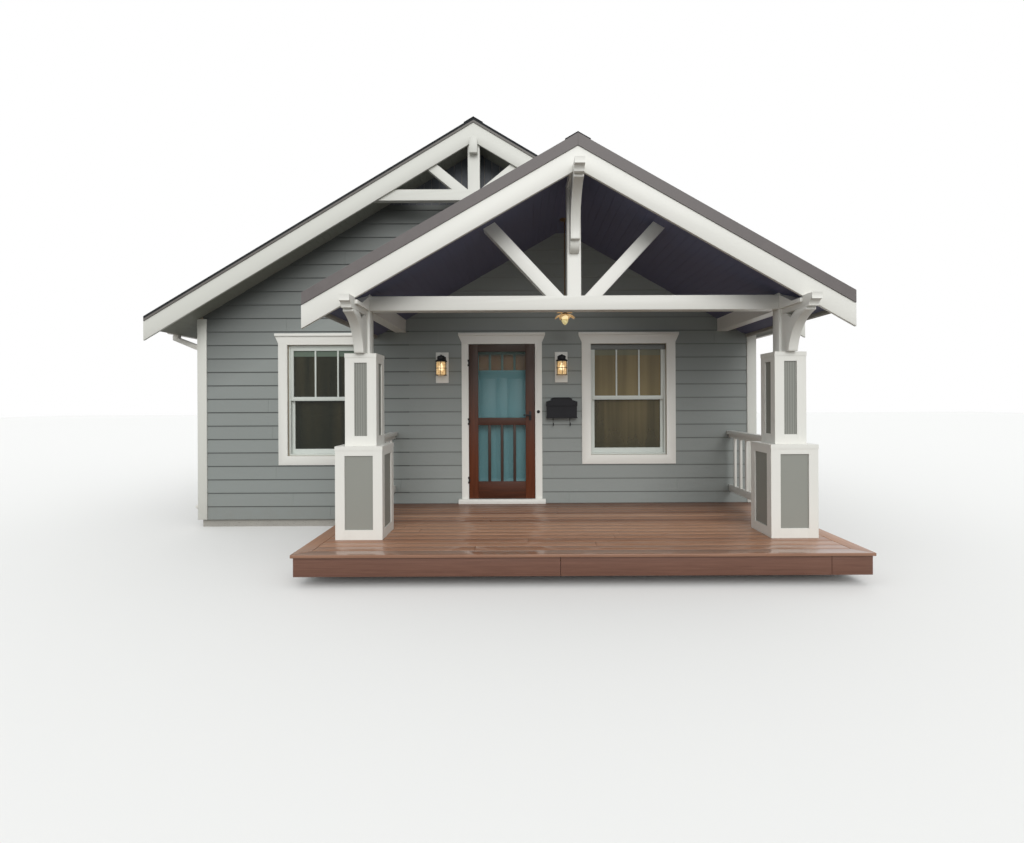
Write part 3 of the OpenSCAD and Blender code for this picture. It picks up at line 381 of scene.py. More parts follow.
@dataclass(frozen=True)
class LapPaint(Paint):
    """Satin paint on lap boards, with painted shadow under the laps, painted shade near the eaves
    and painted light in the porch's gable.
    """

    splash: float = 0.5
    spread: float = 0.09
    ridge: float = 4.965
    # The eave, lap and run fields below set painted shade; the gable fields set painted light.
    eave_reach: float = 1.1
    eave_shade: float = 0.3
    lap_shade: float = 0.28
    shadow_from: float = 0.905
    shadow_run: float = 0.03
    shade_run: float = 0.05
    porch_from: float = -0.9
    porch_reach: float = 0.1
    gable_foot: float = 2.6
    gable_run: float = 0.6
    gable_painted_light: float = 1.6

    def mix(self, recipe: Recipe) -> None:
        """Gives each course its tone, then lays painted lap shadow, painted eave shade and painted
        gable light over it.

        Args:
            recipe: The recipe to fill in.
        """
        course = (recipe.part(Axis.Z) - LAP_FOOT) / LAP
        board = recipe.chance(course + 40.0)
        rise = course - course.floor()
        drift = recipe.noise(1.3, 4.0, 0.55)
        fibre = recipe.noise(2.4, 6.0, 0.65, recipe.along(self.axis))
        tone = recipe.tones(self.colour, 1 - self.spread, 1 + self.spread,
                            (0.45 * board + 0.3 * drift + 0.25 * fibre).held())
        # Painted shadow: each board is darkened at its foot and, more, just under the butt of the
        # board above.
        lap = (rise.fade(self.shade_run) * 0.25
               + rise.climb(self.shadow_from, self.shadow_run) * 0.85)
        porch = ((recipe.part(Axis.X) > self.porch_from)
                 * (recipe.part(Axis.Y) < FRONT + self.porch_reach))
        slope = CEILING_TOP - PORCH_RISE * (recipe.part(Axis.X) - PORCH_X).size()
        inside = porch * (slope - recipe.part(Axis.Z) > 0.0)
        gable = inside * recipe.part(Axis.Z).climb(self.gable_foot, self.gable_run)
        # Painted light: the wall inside the porch's gable is made paler, and the painted lap shadow
        # fainter there.
        tone = recipe.mix(tone, shade(self.colour, self.gable_painted_light), 0.8 * gable)
        tone = recipe.mix(tone, shade(self.colour, self.lap_shade),
                          lap * (1 - 0.4 * porch - 0.45 * gable))
        # Painted shade: the boards are darkened close under the main roof's eaves, except inside
        # the porch.
        below = self.ridge - recipe.part(Axis.Z) - MAIN_RISE * recipe.part(Axis.X).size()
        tone = recipe.mix(tone, shade(self.colour, self.eave_shade),
                          below.fade(self.eave_reach) * (1 - inside))
        spatter = (recipe.noise(6.0, 6.0, 0.7) - 0.3).held()
        recipe.set(
            Base_Color=recipe.mix(tone, self.dirt_colour,
                                  recipe.part(Axis.Z).fade(self.splash) * spatter * self.dirt * 2),
            Roughness=(self.gloss - 0.08) + 0.2 * fibre,
            Normal=recipe.bump(fibre + 0.3 * recipe.noise(90.0, 3.0), self.grain, 0.8))


@dataclass(frozen=True)
class GroovedPaint(Paint):
    """Paint on sheets with fine upright grooves above a height, darkened as painted shade."""

    foot: float = 1.25
    pitch: float = 0.024
    groove_shade: float = 0.72

    def mix(self, recipe: Recipe) -> None:
        """Darkens the grooves as painted shade and leaves the sheets below them plain.

        Args:
            recipe: The recipe to fill in.
        """
        across = (recipe.part(Axis.X) + recipe.part(Axis.Y)) / self.pitch
        groove = (0.5 + 0.5 * (2 * math.pi * across).sine()) * (recipe.part(Axis.Z) > self.foot)
        drift = recipe.noise(0.9, 4.0, 0.55)
        tone = recipe.tones(self.colour, 1 - self.drift, 1 + self.drift, drift)
        recipe.set(Base_Color=recipe.mix(tone, shade(self.colour, self.groove_shade), groove),
                   Roughness=self.gloss + 0.08 * drift,
                   Normal=recipe.bump(1 - groove, self.grain, 0.8))


@dataclass(frozen=True)
class Grit(Finish):
    """Mineral grit on roof shingles, with a tone for each tab."""

    dark: Colour
    light: Colour
    tab: float = 0.21
    rise: float = 0.51
    row_shift: float = 17.3

    def mix(self, recipe: Recipe) -> None:
        """Mixes tabs, streaks and single grains.

        Args:
            recipe: The recipe to fill in.
        """
        row = (recipe.part(Axis.Z) / (SHINGLE * self.rise)).floor()
        tab = recipe.chance(recipe.part(Axis.Y) / self.tab + row * self.row_shift)
        grains = recipe.noise(420.0, 2.0, 0.7)
        weather = recipe.noise(1.1, 4.0, 0.6)
        share = (0.5 * tab + 0.35 * grains + 0.25 * weather - 0.05).held()
        recipe.set(Base_Color=recipe.mix(self.dark, self.light, share),
                   Roughness=0.82 + 0.14 * grains, Specular_IOR_Level=0.3,
                   Normal=recipe.bump(grains, 0.0018, 0.8))


@dataclass(frozen=True)
class Concrete(Finish):
    """Cast concrete with stains, and small pits darkened as painted shade."""

    colour: Colour

    def mix(self, recipe: Recipe) -> None:
        """Mixes cloudy stains with pits that are darkened as painted shade.

        Args:
            recipe: The recipe to fill in.
        """
        clouds = recipe.noise(3.0, 6.0, 0.65)
        pits = recipe.noise(70.0, 3.0, 0.6) > 0.62
        tone = recipe.tones(self.colour, 0.7, 1.15, clouds)
        # Painted shade: the pits are darkened.
        recipe.set(Base_Color=recipe.mix(tone, shade(self.colour, 0.45), pits * 0.5),
                   Roughness=0.8 + 0.15 * clouds,
                   Normal=recipe.bump(clouds - 0.3 * pits, 0.003, 0.7))


@dataclass(frozen=True)
class DeckStain(Finish):
    """Wet stained decking with a tone, a grain and a sheen for each board."""

    dark: Colour
    middle: Colour
    light: Colour
    axis: Axis
    across: Axis
    pitch: float
    start: float
    wet: float = 0.34
    spread: float = 0.5
    soak: float = 0.42
    painted_wall_shade: float = 0.7

    def mix(self, recipe: Recipe) -> None:
        """Mixes a board's tone with its grain, darkens the deck's wet edge, and darkens its back as
        painted shade.

        Args:
            recipe: The recipe to fill in.
        """
        board = recipe.chance((recipe.part(self.across) - self.start) / self.pitch + 60.0)
        grain = recipe.noise(2.2, 7.0, 0.62, recipe.along(self.axis), 0.6)
        water = recipe.noise(1.7, 4.0, 0.55)
        share = (self.spread * board + 0.75 * grain - 0.12 - 0.25 * (self.spread - 0.5)).held()
        tone = recipe.ramp(share, [(0.15, self.dark), (0.5, self.middle), (0.85, self.light)])
        soaked = (recipe.part(Axis.Y) - CAD_LOW.y).fade(self.soak)
        tone = recipe.mix(tone, shade(self.dark, 0.8), 0.45 * soaked)
        # Painted shade: boards near the wall, and all of a floor indoors, are darkened to stand in
        # for shade.
        painted_wall_shade = (FRONT - recipe.part(Axis.Y)).fade(self.painted_wall_shade)
        recipe.set(Base_Color=recipe.mix(tone, shade(self.dark, 0.55), 0.9 * painted_wall_shade),
                   Roughness=self.wet + 0.3 * (water - 0.42).held() * 2 + 0.08 * grain,
                   Coat_Weight=0.08 + 0.2 * water + 0.6 * soaked, Coat_Roughness=0.1,
                   Specular_IOR_Level=0.3, Normal=recipe.bump(grain, 0.0005, 0.3))


@dataclass(frozen=True)
class DoorStain(Finish):
    """Red-brown stained timber under satin varnish, greyed towards the top by painted shade with a
    grey sheen.
    """

    dark: Colour
    light: Colour
    axis: Axis
    # The grey-brown below is laid over the wood higher up: painted shade with a grey sheen.
    painted_top_shade: Colour = paint(66, 58, 53)
    top_shade_from: float = 0.9
    shade_run: float = 1.5
    most_top_shade: float = 0.8

    def mix(self, recipe: Recipe) -> None:
        """Mixes long figure with fine pores, then painted shade towards the top.

        Args:
            recipe: The recipe to fill in.
        """
        figure = recipe.noise(1.5, 5.0, 0.6, recipe.along(self.axis, 0.8), 1.2)
        pores = recipe.noise(14.0, 3.0, 0.7, recipe.along(self.axis, 1.6))
        share = (1.5 * figure - 0.35 + 0.25 * pores).held()
        # Painted shade: the wood greys more and more towards the top.
        painted_top_shade = ((recipe.part(Axis.Z) - self.top_shade_from) / self.shade_run).held(0, self.most_top_shade)
        recipe.set(Base_Color=recipe.mix(recipe.mix(self.dark, self.light, share), self.painted_top_shade,
                                         painted_top_shade),
                   Roughness=0.42 + 0.12 * pores, Coat_Weight=0.06, Coat_Roughness=0.2,
                   Specular_IOR_Level=0.2,
                   Normal=recipe.bump(0.6 * figure + 0.4 * pores, 0.0007, 0.6))


@dataclass(frozen=True)
class Metal(Finish):
    """Painted or bare metal, smooth or hammered."""

    colour: Colour
    gloss: float = 0.4
    metallic: float = 0.0
    hammer: float = 0.0
    shine: float = 0.5

    def mix(self, recipe: Recipe) -> None:
        """Mixes wear with a hammered or plain surface.

        Args:
            recipe: The recipe to fill in.
        """
        wear = recipe.noise(9.0, 5.0, 0.6)
        dents = recipe.noise(110.0, 1.5, 0.5)
        recipe.set(Base_Color=recipe.tones(self.colour, 0.8, 1.25, wear),
                   Roughness=(self.gloss - 0.08) + 0.16 * wear, Metallic=self.metallic,
                   Specular_IOR_Level=self.shine,
                   Normal=recipe.bump(dents + 0.2 * wear, 0.0004 + self.hammer, 0.7))


@dataclass(frozen=True)
class Pane(Finish):
    """Tinted glass with painted light: a lit room's warm glow and painted reflections in bands,
    stronger high up and right of the middle.
    """

    colour: Colour
    cover: float
    painted_light_tone: Colour
    film: Colour = paint(96, 108, 104)
    gloss: float = 0.03
    foot: float = 1.0
    run: float = 0.5
    least: float = 0.4
    rail: float = 1.694
    lower_share: float = 0.35
    upper_share: float = 0.43
    blind: Colour = paint(112, 128, 114)
    blind_foot: float = 2.26
    blind_cover: float = 0.75
    blind_loss: float = 0.3

    def mix(self, recipe: Recipe) -> None:
        """Mixes painted light, then a dust film, into the tint.

        Args:
            recipe: The recipe to fill in.
        """
        ripple = recipe.noise(2.6, 2.0, 0.4)
        dust = recipe.noise(5.0, 6.0, 0.7)
        right, upper = recipe.part(Axis.X) > 0.0, recipe.part(Axis.Z) > self.rail
        bands = recipe.noise(0.16, 3.0, 0.6, recipe.along(Axis.Z))
        # Painted light: a warm glow of a lit room right of the middle, and painted reflections in
        # level bands, more of both higher up.
        share = (right * (self.lower_share + self.upper_share * upper)
                 + (0.5 + 0.8 * right) * (bands - 0.5))
        share = share * (self.least
                         + (1 - self.least) * recipe.part(Axis.Z).climb(self.foot, self.run))
        tone = recipe.mix(self.colour, self.painted_light_tone, share.held())
        blind = ((recipe.part(Axis.Z) > self.blind_foot)
                 * (self.blind_cover - self.blind_loss * right))
        tone = recipe.mix(tone, self.blind, blind)
        recipe.set(Base_Color=recipe.mix(tone, self.film, 0.08 * dust),
                   Roughness=self.gloss + 0.03 * dust, Specular_IOR_Level=0.25,
                   Alpha=(self.cover - 0.04) + 0.08 * dust,
                   Normal=recipe.bump(ripple, 0.004, 0.25))


@dataclass(frozen=True)
class Glow(Finish):
    """Warm lit glass."""

    core: Colour
    rim: Colour
    power: float
    cover: float = 1.0

    def mix(self, recipe: Recipe) -> None:
        """Mixes a pale core with an amber rim.

        Args:
            recipe: The recipe to fill in.
        """
        swirl = recipe.noise(38.0, 2.0, 0.5)
        tone = recipe.mix(self.core, self.rim, (1.6 * swirl - 0.3).held())
        recipe.set(Base_Color=tone, Emission_Color=tone, Emission_Strength=self.power,
                   Roughness=0.15 + 0.1 * swirl, Alpha=self.cover)


@dataclass(frozen=True)
class ScreenCloth(Finish):
    """Fine woven insect screen."""

    colour: Colour
    cover: float = 0.42
    pitch: float = 0.0016

    def mix(self, recipe: Recipe) -> None:
        """Weaves threads both ways and leaves the holes between them open.

        Args:
            recipe: The recipe to fill in.
        """
        turn = 2 * math.pi / self.pitch
        warp = (recipe.part(Axis.X) * turn).sine()
        weft = (recipe.part(Axis.Z) * turn).sine()
        threads = 0.25 * (warp + weft) + 0.5
        slack = recipe.noise(3.0, 2.0)
        recipe.set(Base_Color=recipe.tones(self.colour, 1.0, 1.5, slack),
                   Roughness=0.6 + 0.1 * slack,
                   Alpha=(self.cover - 0.1) + 0.2 * threads,
                   Normal=recipe.bump(threads, 0.0002, 0.5))


WHITE = paint(221, 220, 214)
# A slightly darker white for the main gable's trim and the corner boards.
DIM_WHITE = paint(206, 206, 199)
TRIM = Paint("white_trim_paint", WHITE, Axis.X, 0.38, 0.03)
GABLE_TRIM = Paint("white_gable_paint", DIM_WHITE, Axis.X, 0.42, 0.03)
CORNER_TRIM = Paint("white_corner_paint", DIM_WHITE, Axis.Z, 0.42, 0.03)
EAVE_TRIM = Paint("eave_board_paint", paint(150, 147, 141), Axis.Y, 0.5, 0.04)
TRIM_UPRIGHT = Paint("white_upright_trim_paint", WHITE, Axis.Z, 0.38, 0.03)
TRIM_DEEP = Paint("white_beam_paint", WHITE, Axis.Y, 0.4, 0.035)
SIDING = LapPaint("grey_lap_paint", paint(130, 135, 132), Axis.X, 0.5)
SIDING_SIDE = LapPaint("grey_side_lap_paint", paint(130, 135, 132), Axis.Y, 0.5)
PLASTER = Paint("inside_plaster", paint(176, 160, 138), Axis.Z, 0.7, 0.05, 0.0005, 0.0)
PANEL_GREY = GroovedPaint("pier_panel_paint", paint(137, 138, 131), Axis.Z, 0.5, 0.04)
SOFFIT_GREY = Paint("soffit_paint", paint(138, 140, 131), Axis.Y, 0.55, 0.06, 0.0009, 0.0)
CEILING = Paint("dark_ceiling_paint", paint(90, 91, 115), Axis.Y, 0.6, 0.06, 0.0004, 0.0)
PEAK = Paint("gable_peak_paint", paint(80, 84, 90), Axis.Z, 0.5, 0.12, 0.0009, 0.0)
FOOTING = Concrete("footing_concrete", paint(168, 165, 158))
SHINGLES = Grit("main_shingle_grit", paint(17, 19, 21), paint(46, 49, 51))
PORCH_SHINGLES = Grit("porch_shingle_grit", paint(86, 80, 79), paint(108, 102, 101))
CAPS = Grit("ridge_cap_grit", paint(18, 18, 20), paint(40, 40, 43))
ROOF_EDGE = Metal("roof_edge_metal", paint(96, 90, 89), 0.5)
EDGE_STRIP = Metal("main_edge_strip", paint(98, 94, 90), 0.5)
GUTTER_METAL = Metal("white_gutter_metal", paint(222, 219, 212), 0.35)
BLACK = Metal("black_satin_metal", paint(26, 26, 28), 0.42, shine=0.25)
MAILBOX_BLACK = Metal("hammered_black_enamel", paint(34, 34, 37), 0.5, 0.0, 0.0006, 0.15)
BRASS = Metal("dark_aged_brass", (0.16, 0.10, 0.05, 1.0), 0.4, 0.6)
# Window white is dimmer than the trim's; above head=2.334, under the porch, it is darkened as
# painted shade on the sash heads.
WINDOW_WHITE = Paint("window_frame_paint", paint(200, 205, 199), Axis.Z, 0.3, 0.02, 0.0003,
                     0.0, head=2.334)
# The panes' second colours are painted light: a lit room's warm glow and painted reflections.
WINDOW_GLASS = Pane("window_pane", paint(32, 34, 24), 0.85, paint(150, 134, 96))
DOOR_GLASS = Pane("door_pane", paint(122, 94, 72), 0.85, paint(178, 146, 112))
JAR_GLASS = Glow("lantern_jar_glow", paint(250, 222, 166), paint(168, 124, 72), 0.7, 0.5)
BULB = Glow("lantern_bulb_glow", paint(255, 242, 210), paint(255, 216, 158), 1.8)
AMBER = Glow("amber_lamp_glass", paint(238, 206, 152), paint(156, 114, 66), 0.42)
LAMP_BUD = Glow("pale_lamp_glass", paint(240, 230, 176), paint(190, 166, 104), 0.5)
PENDANT_BULB = Glow("pendant_bulb_glow", paint(252, 240, 200), paint(240, 216, 156), 0.75)
STAIN_UP = DoorStain("stained_stile_wood", paint(60, 28, 14), paint(110, 58, 34), Axis.Z)
STAIN_ACROSS = DoorStain("stained_rail_wood", paint(47, 23, 12), paint(86, 45, 27), Axis.X)
STAIN_SLAT = DoorStain("stained_slat_wood", paint(44, 32, 27), paint(72, 54, 46), Axis.Z)
TEAL_UP = Paint("teal_stile_paint", paint(116, 176, 184), Axis.Z, 0.35, 0.05, 0.0006, 0.0)
# A greyer, darker teal for the entry door's bars and top rail: painted shade on the same teal
# paint.
TEAL_SHADED = Paint("teal_bar_paint", paint(112, 142, 136), Axis.Z, 0.4, 0.05, 0.0006, 0.0)
TEAL_ACROSS = Paint("teal_rail_paint", paint(116, 176, 184), Axis.X, 0.35, 0.05, 0.0006, 0.0)
CLOTH = ScreenCloth("screen_door_cloth", paint(70, 78, 76), 0.15)
JOIST = Paint("rough_joist_wood", paint(88, 72, 56), Axis.Y, 0.8, 0.2, 0.002, 0.3)
FLOORING = DeckStain("inside_floor_boards", paint(96, 60, 34), paint(140, 92, 54),
                     paint(172, 122, 78), Axis.Y, Axis.X, 0.09, 0.0, 0.3)
FASCIA_STAIN = DeckStain("fascia_stain", paint(84, 54, 42), paint(110, 76, 62),
                         paint(132, 96, 80), Axis.X, Axis.Z, 0.4, 0.0, 0.5, 0.3, 0.001)


class Stock:
    """Boards, sheets and rods shaped with mesh operators and kept as one piece."""

    def __init__(self) -> None:
        """Starts with nothing."""
        self.mesh = bmesh.new()
        self.outward = True

    def board(self, corner: Point, opposite: Point) -> None:
        """Adds a board between two opposite corners, whichever way they lie.

        Args:
            corner: One corner.
            opposite: The corner farthest from it.
        """
        low = Vector([min(pair) for pair in zip(corner, opposite)])
        high = Vector([max(pair) for pair in zip(corner, opposite)])
        place = Matrix.Translation((low + high) / 2) @ Matrix.Diagonal((*(high - low), 1))
        bmesh.ops.create_cube(self.mesh, size=1.0, matrix=place)

    def prism(self, outline: Iterable[Point], shift: Point) -> None:
        """Pushes an outline along a vector.

        Args:
            outline: The corners, in order.
            shift: How far and which way the outline is pushed.
        """
        face = self.mesh.faces.new([self.mesh.verts.new(point) for point in outline])
        made = bmesh.ops.extrude_face_region(self.mesh, geom=[face], use_keep_orig=True)
        moved = [part for part in made["geom"] if isinstance(part, bmesh.types.BMVert)]
        bmesh.ops.translate(self.mesh, verts=moved, vec=shift)

    def slab(self, outline: Profile, y: float, depth: float) -> None:
        """Pushes an outline of X and Z along Y."""
        self.prism([(x, y, z) for x, z in outline], (0, depth, 0))

    def turned(self, profile: Profile, centre: Point, steps: int = 24,
               lying: bool = False) -> None:
        """Spins a profile of radius and height round an upright or a Y axis.

        Args:
            profile: Pairs of radius and height.
            centre: The foot of the axis.
            steps: How many facets go round.
            lying: True for an axis along -Y instead of Z.
        """
        centre = Vector(centre)
        up = Vector((0, -1, 0)) if lying else Vector((0, 0, 1))
        line = [self.mesh.verts.new(centre + Vector((radius, 0, 0)) + up * height)
                for radius, height in profile]
        edges = [self.mesh.edges.new(pair) for pair in pairwise(line)]
        before = set(self.mesh.verts) - set(line)
        bmesh.ops.spin(self.mesh, geom=line + edges, cent=centre, axis=up, dvec=(0, 0, 0),
                       angle=2 * math.pi, steps=steps, use_merge=True, use_duplicate=False)
        made = [vert for vert in self.mesh.verts if vert not in before]
        bmesh.ops.remove_doubles(self.mesh, verts=made, dist=1e-6)

    def rod(self, start: Point, end: Point, radius: float, steps: int = 12) -> None:
        """Adds a round rod between two points.

        Args:
            start: The middle of one end.
            end: The middle of the other end.
            radius: Half its thickness.
            steps: How many facets go round.
        """
        start, end = Vector(start), Vector(end)
        way = end - start
        turn = way.to_track_quat("Z", "Y").to_matrix().to_4x4()
        place = Matrix.Translation((start + end) / 2) @ turn
        bmesh.ops.create_cone(self.mesh, cap_ends=True, segments=steps, radius1=radius,
                              radius2=radius, depth=way.length, matrix=place)

    def cut(self, point: Point, normal: Point) -> None:
        """Takes off all that lies beyond a plane and closes the cut.

        Args:
            point: A point of the plane.
            normal: The way that is cleared.
        """
        everything = self.mesh.verts[:] + self.mesh.edges[:] + self.mesh.faces[:]
        made = bmesh.ops.bisect_plane(self.mesh, geom=everything, dist=1e-6, plane_co=point,
                                      plane_no=normal, clear_outer=True)
        edges = [part for part in made["geom_cut"] if isinstance(part, bmesh.types.BMEdge)]
        bmesh.ops.holes_fill(self.mesh, edges=edges, sides=0)

    def copy_of(self, node: str) -> "Stock":
        """Takes in a CAD node's shape, merged into whole faces.

        Args:
            node: The node's name.

        Returns:
            The stock itself.
        """
        self.mesh.from_mesh(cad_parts[node].data)
        bmesh.ops.remove_doubles(self.mesh, verts=self.mesh.verts[:], dist=1e-5)
        bmesh.ops.dissolve_limit(self.mesh, angle_limit=math.radians(1.0),
                                 verts=self.mesh.verts[:], edges=self.mesh.edges[:])
        self.outward = False
        return self

    def eased(self, width: float = 0.003, segments: int = 2,
              angle: float = math.radians(25)) -> "Stock":
        """Rounds every sharp outside edge.

        Args:
            width: How far the rounding reaches.
            segments: How many facets it has.
            angle: The least angle of an edge that is rounded.

        Returns:
            The stock itself.
        """
        sharp = [edge for edge in self.mesh.edges
                 if edge.is_manifold and edge.is_convex and edge.calc_face_angle() > angle]
        bmesh.ops.bevel(self.mesh, geom=sharp, offset=width, offset_type="OFFSET",
                        segments=segments, profile=0.5, affect="EDGES",
                        clamp_overlap=True, material=-1)
        return self

    def piece(self, name: str, finish: Finish, slot: str, body: str = "house",
              stands_for: Sequence[str] = ()) -> None:
        """Closes the stock into a piece of the model.

        Args:
            name: The piece's name.
            finish: What it is finished in.
            slot: The record's material slot; not used here.
            body: The body that it rides on.
            stands_for: CAD nodes that it is shown in place of.
        """
        if self.outward:
            bmesh.ops.recalc_face_normals(self.mesh, faces=self.mesh.faces[:])
        mesh = bpy.data.meshes.new(name)
        self.mesh.to_mesh(mesh)
        self.mesh.free()
        mesh.polygons.foreach_set("use_smooth", [True] * len(mesh.polygons))
        mesh.set_sharp_from_angle(angle=math.radians(32))
        mesh.materials.append(finish.material())
        made = bpy.data.objects.new(name, mesh)
        bpy.context.scene.collection.objects.link(made)
        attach(made, body)
        if stands_for:
            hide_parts(*stands_for)
        LOG.info("%s: %d faces", name, len(mesh.polygons))


def dress(finish: Finish, *nodes: str) -> None:
    """Puts a finish on CAD nodes that are shown as they are.

    Args:
        finish: The finish.
        nodes: The nodes' names.
    """
    for node in nodes:
        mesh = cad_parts[node].data
        mesh.materials.clear()
        mesh.materials.append(finish.material())
        LOG.info("%s: CAD node in %s", node, finish.name)


def soften(node: str, name: str, finish: Finish, slot: str = "trim",
           width: float = 0.003) -> None:
    """Shows a CAD node with its edges eased as a real board's are."""
    Stock().copy_of(node).eased(width).piece(name, finish, slot, stands_for=[node])


@dataclass(frozen=True)
class Opening:
    """A rectangle of wall without boards."""

    left: float
    right: float
    foot: float
    head: float


@dataclass
class HouseShell:
    """The house's sizes that several parts share."""

    half: float = 3.675
    eave: float = 2.771
    footing: float = 0.1
    ridge: float = 4.96498
    window_x: float = 2.01
    window_half: float = 0.5015
    window_foot: float = 0.936
    head: float = 2.41
    jamb: float = 0.474
    side_first: float = 2.3
    side_pitch: float = 2.5
    side_count: int = 3
    peak_foot: float = 4.256
    lap: float = 0.02

    def window(self, centre: float) -> Opening:
        """Gives a window's opening, a little short of the casing's outside."""
        half = self.window_half + self.lap
        return Opening(centre - half, centre + half, self.window_foot - self.lap,
                       self.head + self.lap)


@dataclass
class LapWall:
    """One wall's face for the lap boards, drawn from its left end."""

    name: str
    finish: Finish
    start: Vector
    along: Vector
    out: Vector
    length: float
    high: float
    openings: list[Opening]
    gable: bool = False


@dataclass
class LapSiding:
    """Lap boards on all four walls."""

    shell: HouseShell
    butt: float = 0.017
    neck: float = 0.006
    sunk: float = 0.004
    board: float = 3.66
    first_joint: float = 0.8
    joint: float = 0.0015
    inset: float = 0.05
    least: float = 0.004
    below_eave: float = 0.006
    over_deck: float = 0.002
    beside_door: float = 0.01
    over_door: float = 0.03
    roof_lap: float = 0.003
    most: int = 40

    def walls(self) -> list[LapWall]:
        """Lists the walls with their openings.

        Returns:
            The front, the rear, the left and the right wall.
        """
        shell = self.shell
        half, depth = shell.half, REAR - FRONT
        deck_low, deck_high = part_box("porch_deck")
        door = shell.jamb + self.beside_door
        windows = [shell.window(half + side * shell.window_x) for side in SIDES]
        front = [*windows,
                 Opening(half + DOOR_X - door, half + DOOR_X + door, 0.0,
                         shell.head + self.over_door),
                 Opening(half + deck_low.x, half + deck_high.x, 0.0,
                         deck_high.z + self.over_deck)]
        spots = [shell.side_first + shell.side_pitch * i for i in range(shell.side_count)]
        x, y = Vector((1, 0, 0)), Vector((0, 1, 0))
        top = shell.eave - self.below_eave
        return [
            LapWall("front_siding", SIDING, Vector((-half, FRONT, 0)), x, -y, 2 * half,
                    shell.peak_foot, front, True),
            LapWall("rear_siding", SIDING, Vector((half, REAR, 0)), -x, y, 2 * half,
                    shell.ridge, windows, True),
            LapWall("left_siding", SIDING_SIDE, Vector((-half, REAR, 0)), -y, -x, depth, top,
                    [shell.window(depth - spot) for spot in spots]),
            LapWall("right_siding", SIDING_SIDE, Vector((half, FRONT, 0)), y, x, depth, top,
                    [shell.window(spot) for spot in spots]),
        ]

    def strips(self, wall: LapWall, foot: float, head: float,
               shift: float) -> Iterator[tuple[float, float, float, float]]:
        """Gives the parts of a course that miss the openings.

        Args:
            wall: The wall.
            foot: The course's lower edge.
            head: Its upper edge.
            shift: Where its first joint falls.

        Returns:
            Left, right, foot and head of each part.
        """
        near = [gap for gap in wall.openings if gap.foot < head and gap.head > foot]
        ends = (self.inset, wall.length - self.inset)
        joints = {shift + self.board * i for i in range(math.ceil(wall.length / self.board) + 1)}
        edges = {edge for gap in near for edge in (gap.left, gap.right)} | joints
        cuts = sorted({*ends, *(edge for edge in edges if ends[0] < edge < ends[1])})
        for left, right in pairwise(cuts):
            middle, low = (left + right) / 2, foot
            for gap in sorted(near, key=lambda gap: gap.foot):
                if gap.left < middle < gap.right:
                    if gap.foot > low:
                        yield left, right, low, gap.foot
                    low = max(low, gap.head)
            if low < head:
                yield left, right - self.joint * (right in joints), low, head

    def build(self) -> None:
        """Nails up the boards course by course."""
        shell = self.shell
        chance = random.Random(7)
        for wall in self.walls():
            stock = Stock()
            lines = [shell.footing] + [LAP_FOOT + LAP * i for i in range(self.most)]
            for foot, head in pairwise(line for line in lines if line < wall.high + LAP):
                head = min(head, wall.high)
                shift = chance.uniform(self.first_joint, self.board)
                for left, right, low, high in self.strips(wall, foot, head, shift):
                    if min(high - low, right - left) < self.least:
                        continue
                    outer = [(self.butt + (self.neck - self.butt) * (z - foot) / LAP, z)
                             for z in (low, high)]
                    outline = [(-self.sunk, low), *outer, (-self.sunk, high)]
                    stock.prism([wall.start + wall.along * left + wall.out * out
                                 + Vector((0, 0, z)) for out, z in outline],
                                wall.along * (right - left))
            if wall.gable:
                for side in SIDES:
                    stock.cut((0, 0, shell.ridge + self.roof_lap), (side * MAIN_RISE, 0, 1))
            stock.piece(wall.name, wall.finish, "siding")


@dataclass
class GablePeak:
    """Dark upright boards behind the front gable's truss."""

    shell: HouseShell
    board: float = 0.1
    gap: float = 0.004
    thick: float = 0.012

    def build(self) -> None:
        """Sets the boards side by side and trims them to the roof."""
        low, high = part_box("gable_panel")
        stock = Stock()
        for i in range(math.ceil((high.x - low.x) / self.board)):
            left = low.x + i * self.board
            right = min(left + self.board - self.gap, high.x)
            stock.board((left, FRONT - self.thick, low.z), (right, FRONT, high.z))
        for side in SIDES:
            stock.cut((0, 0, self.shell.ridge), (side * MAIN_RISE, 0, 1))
        stock.eased(0.0015, 1).piece("gable_peak_boards", PEAK, "gable_dark",
                                     stands_for=["gable_panel"])


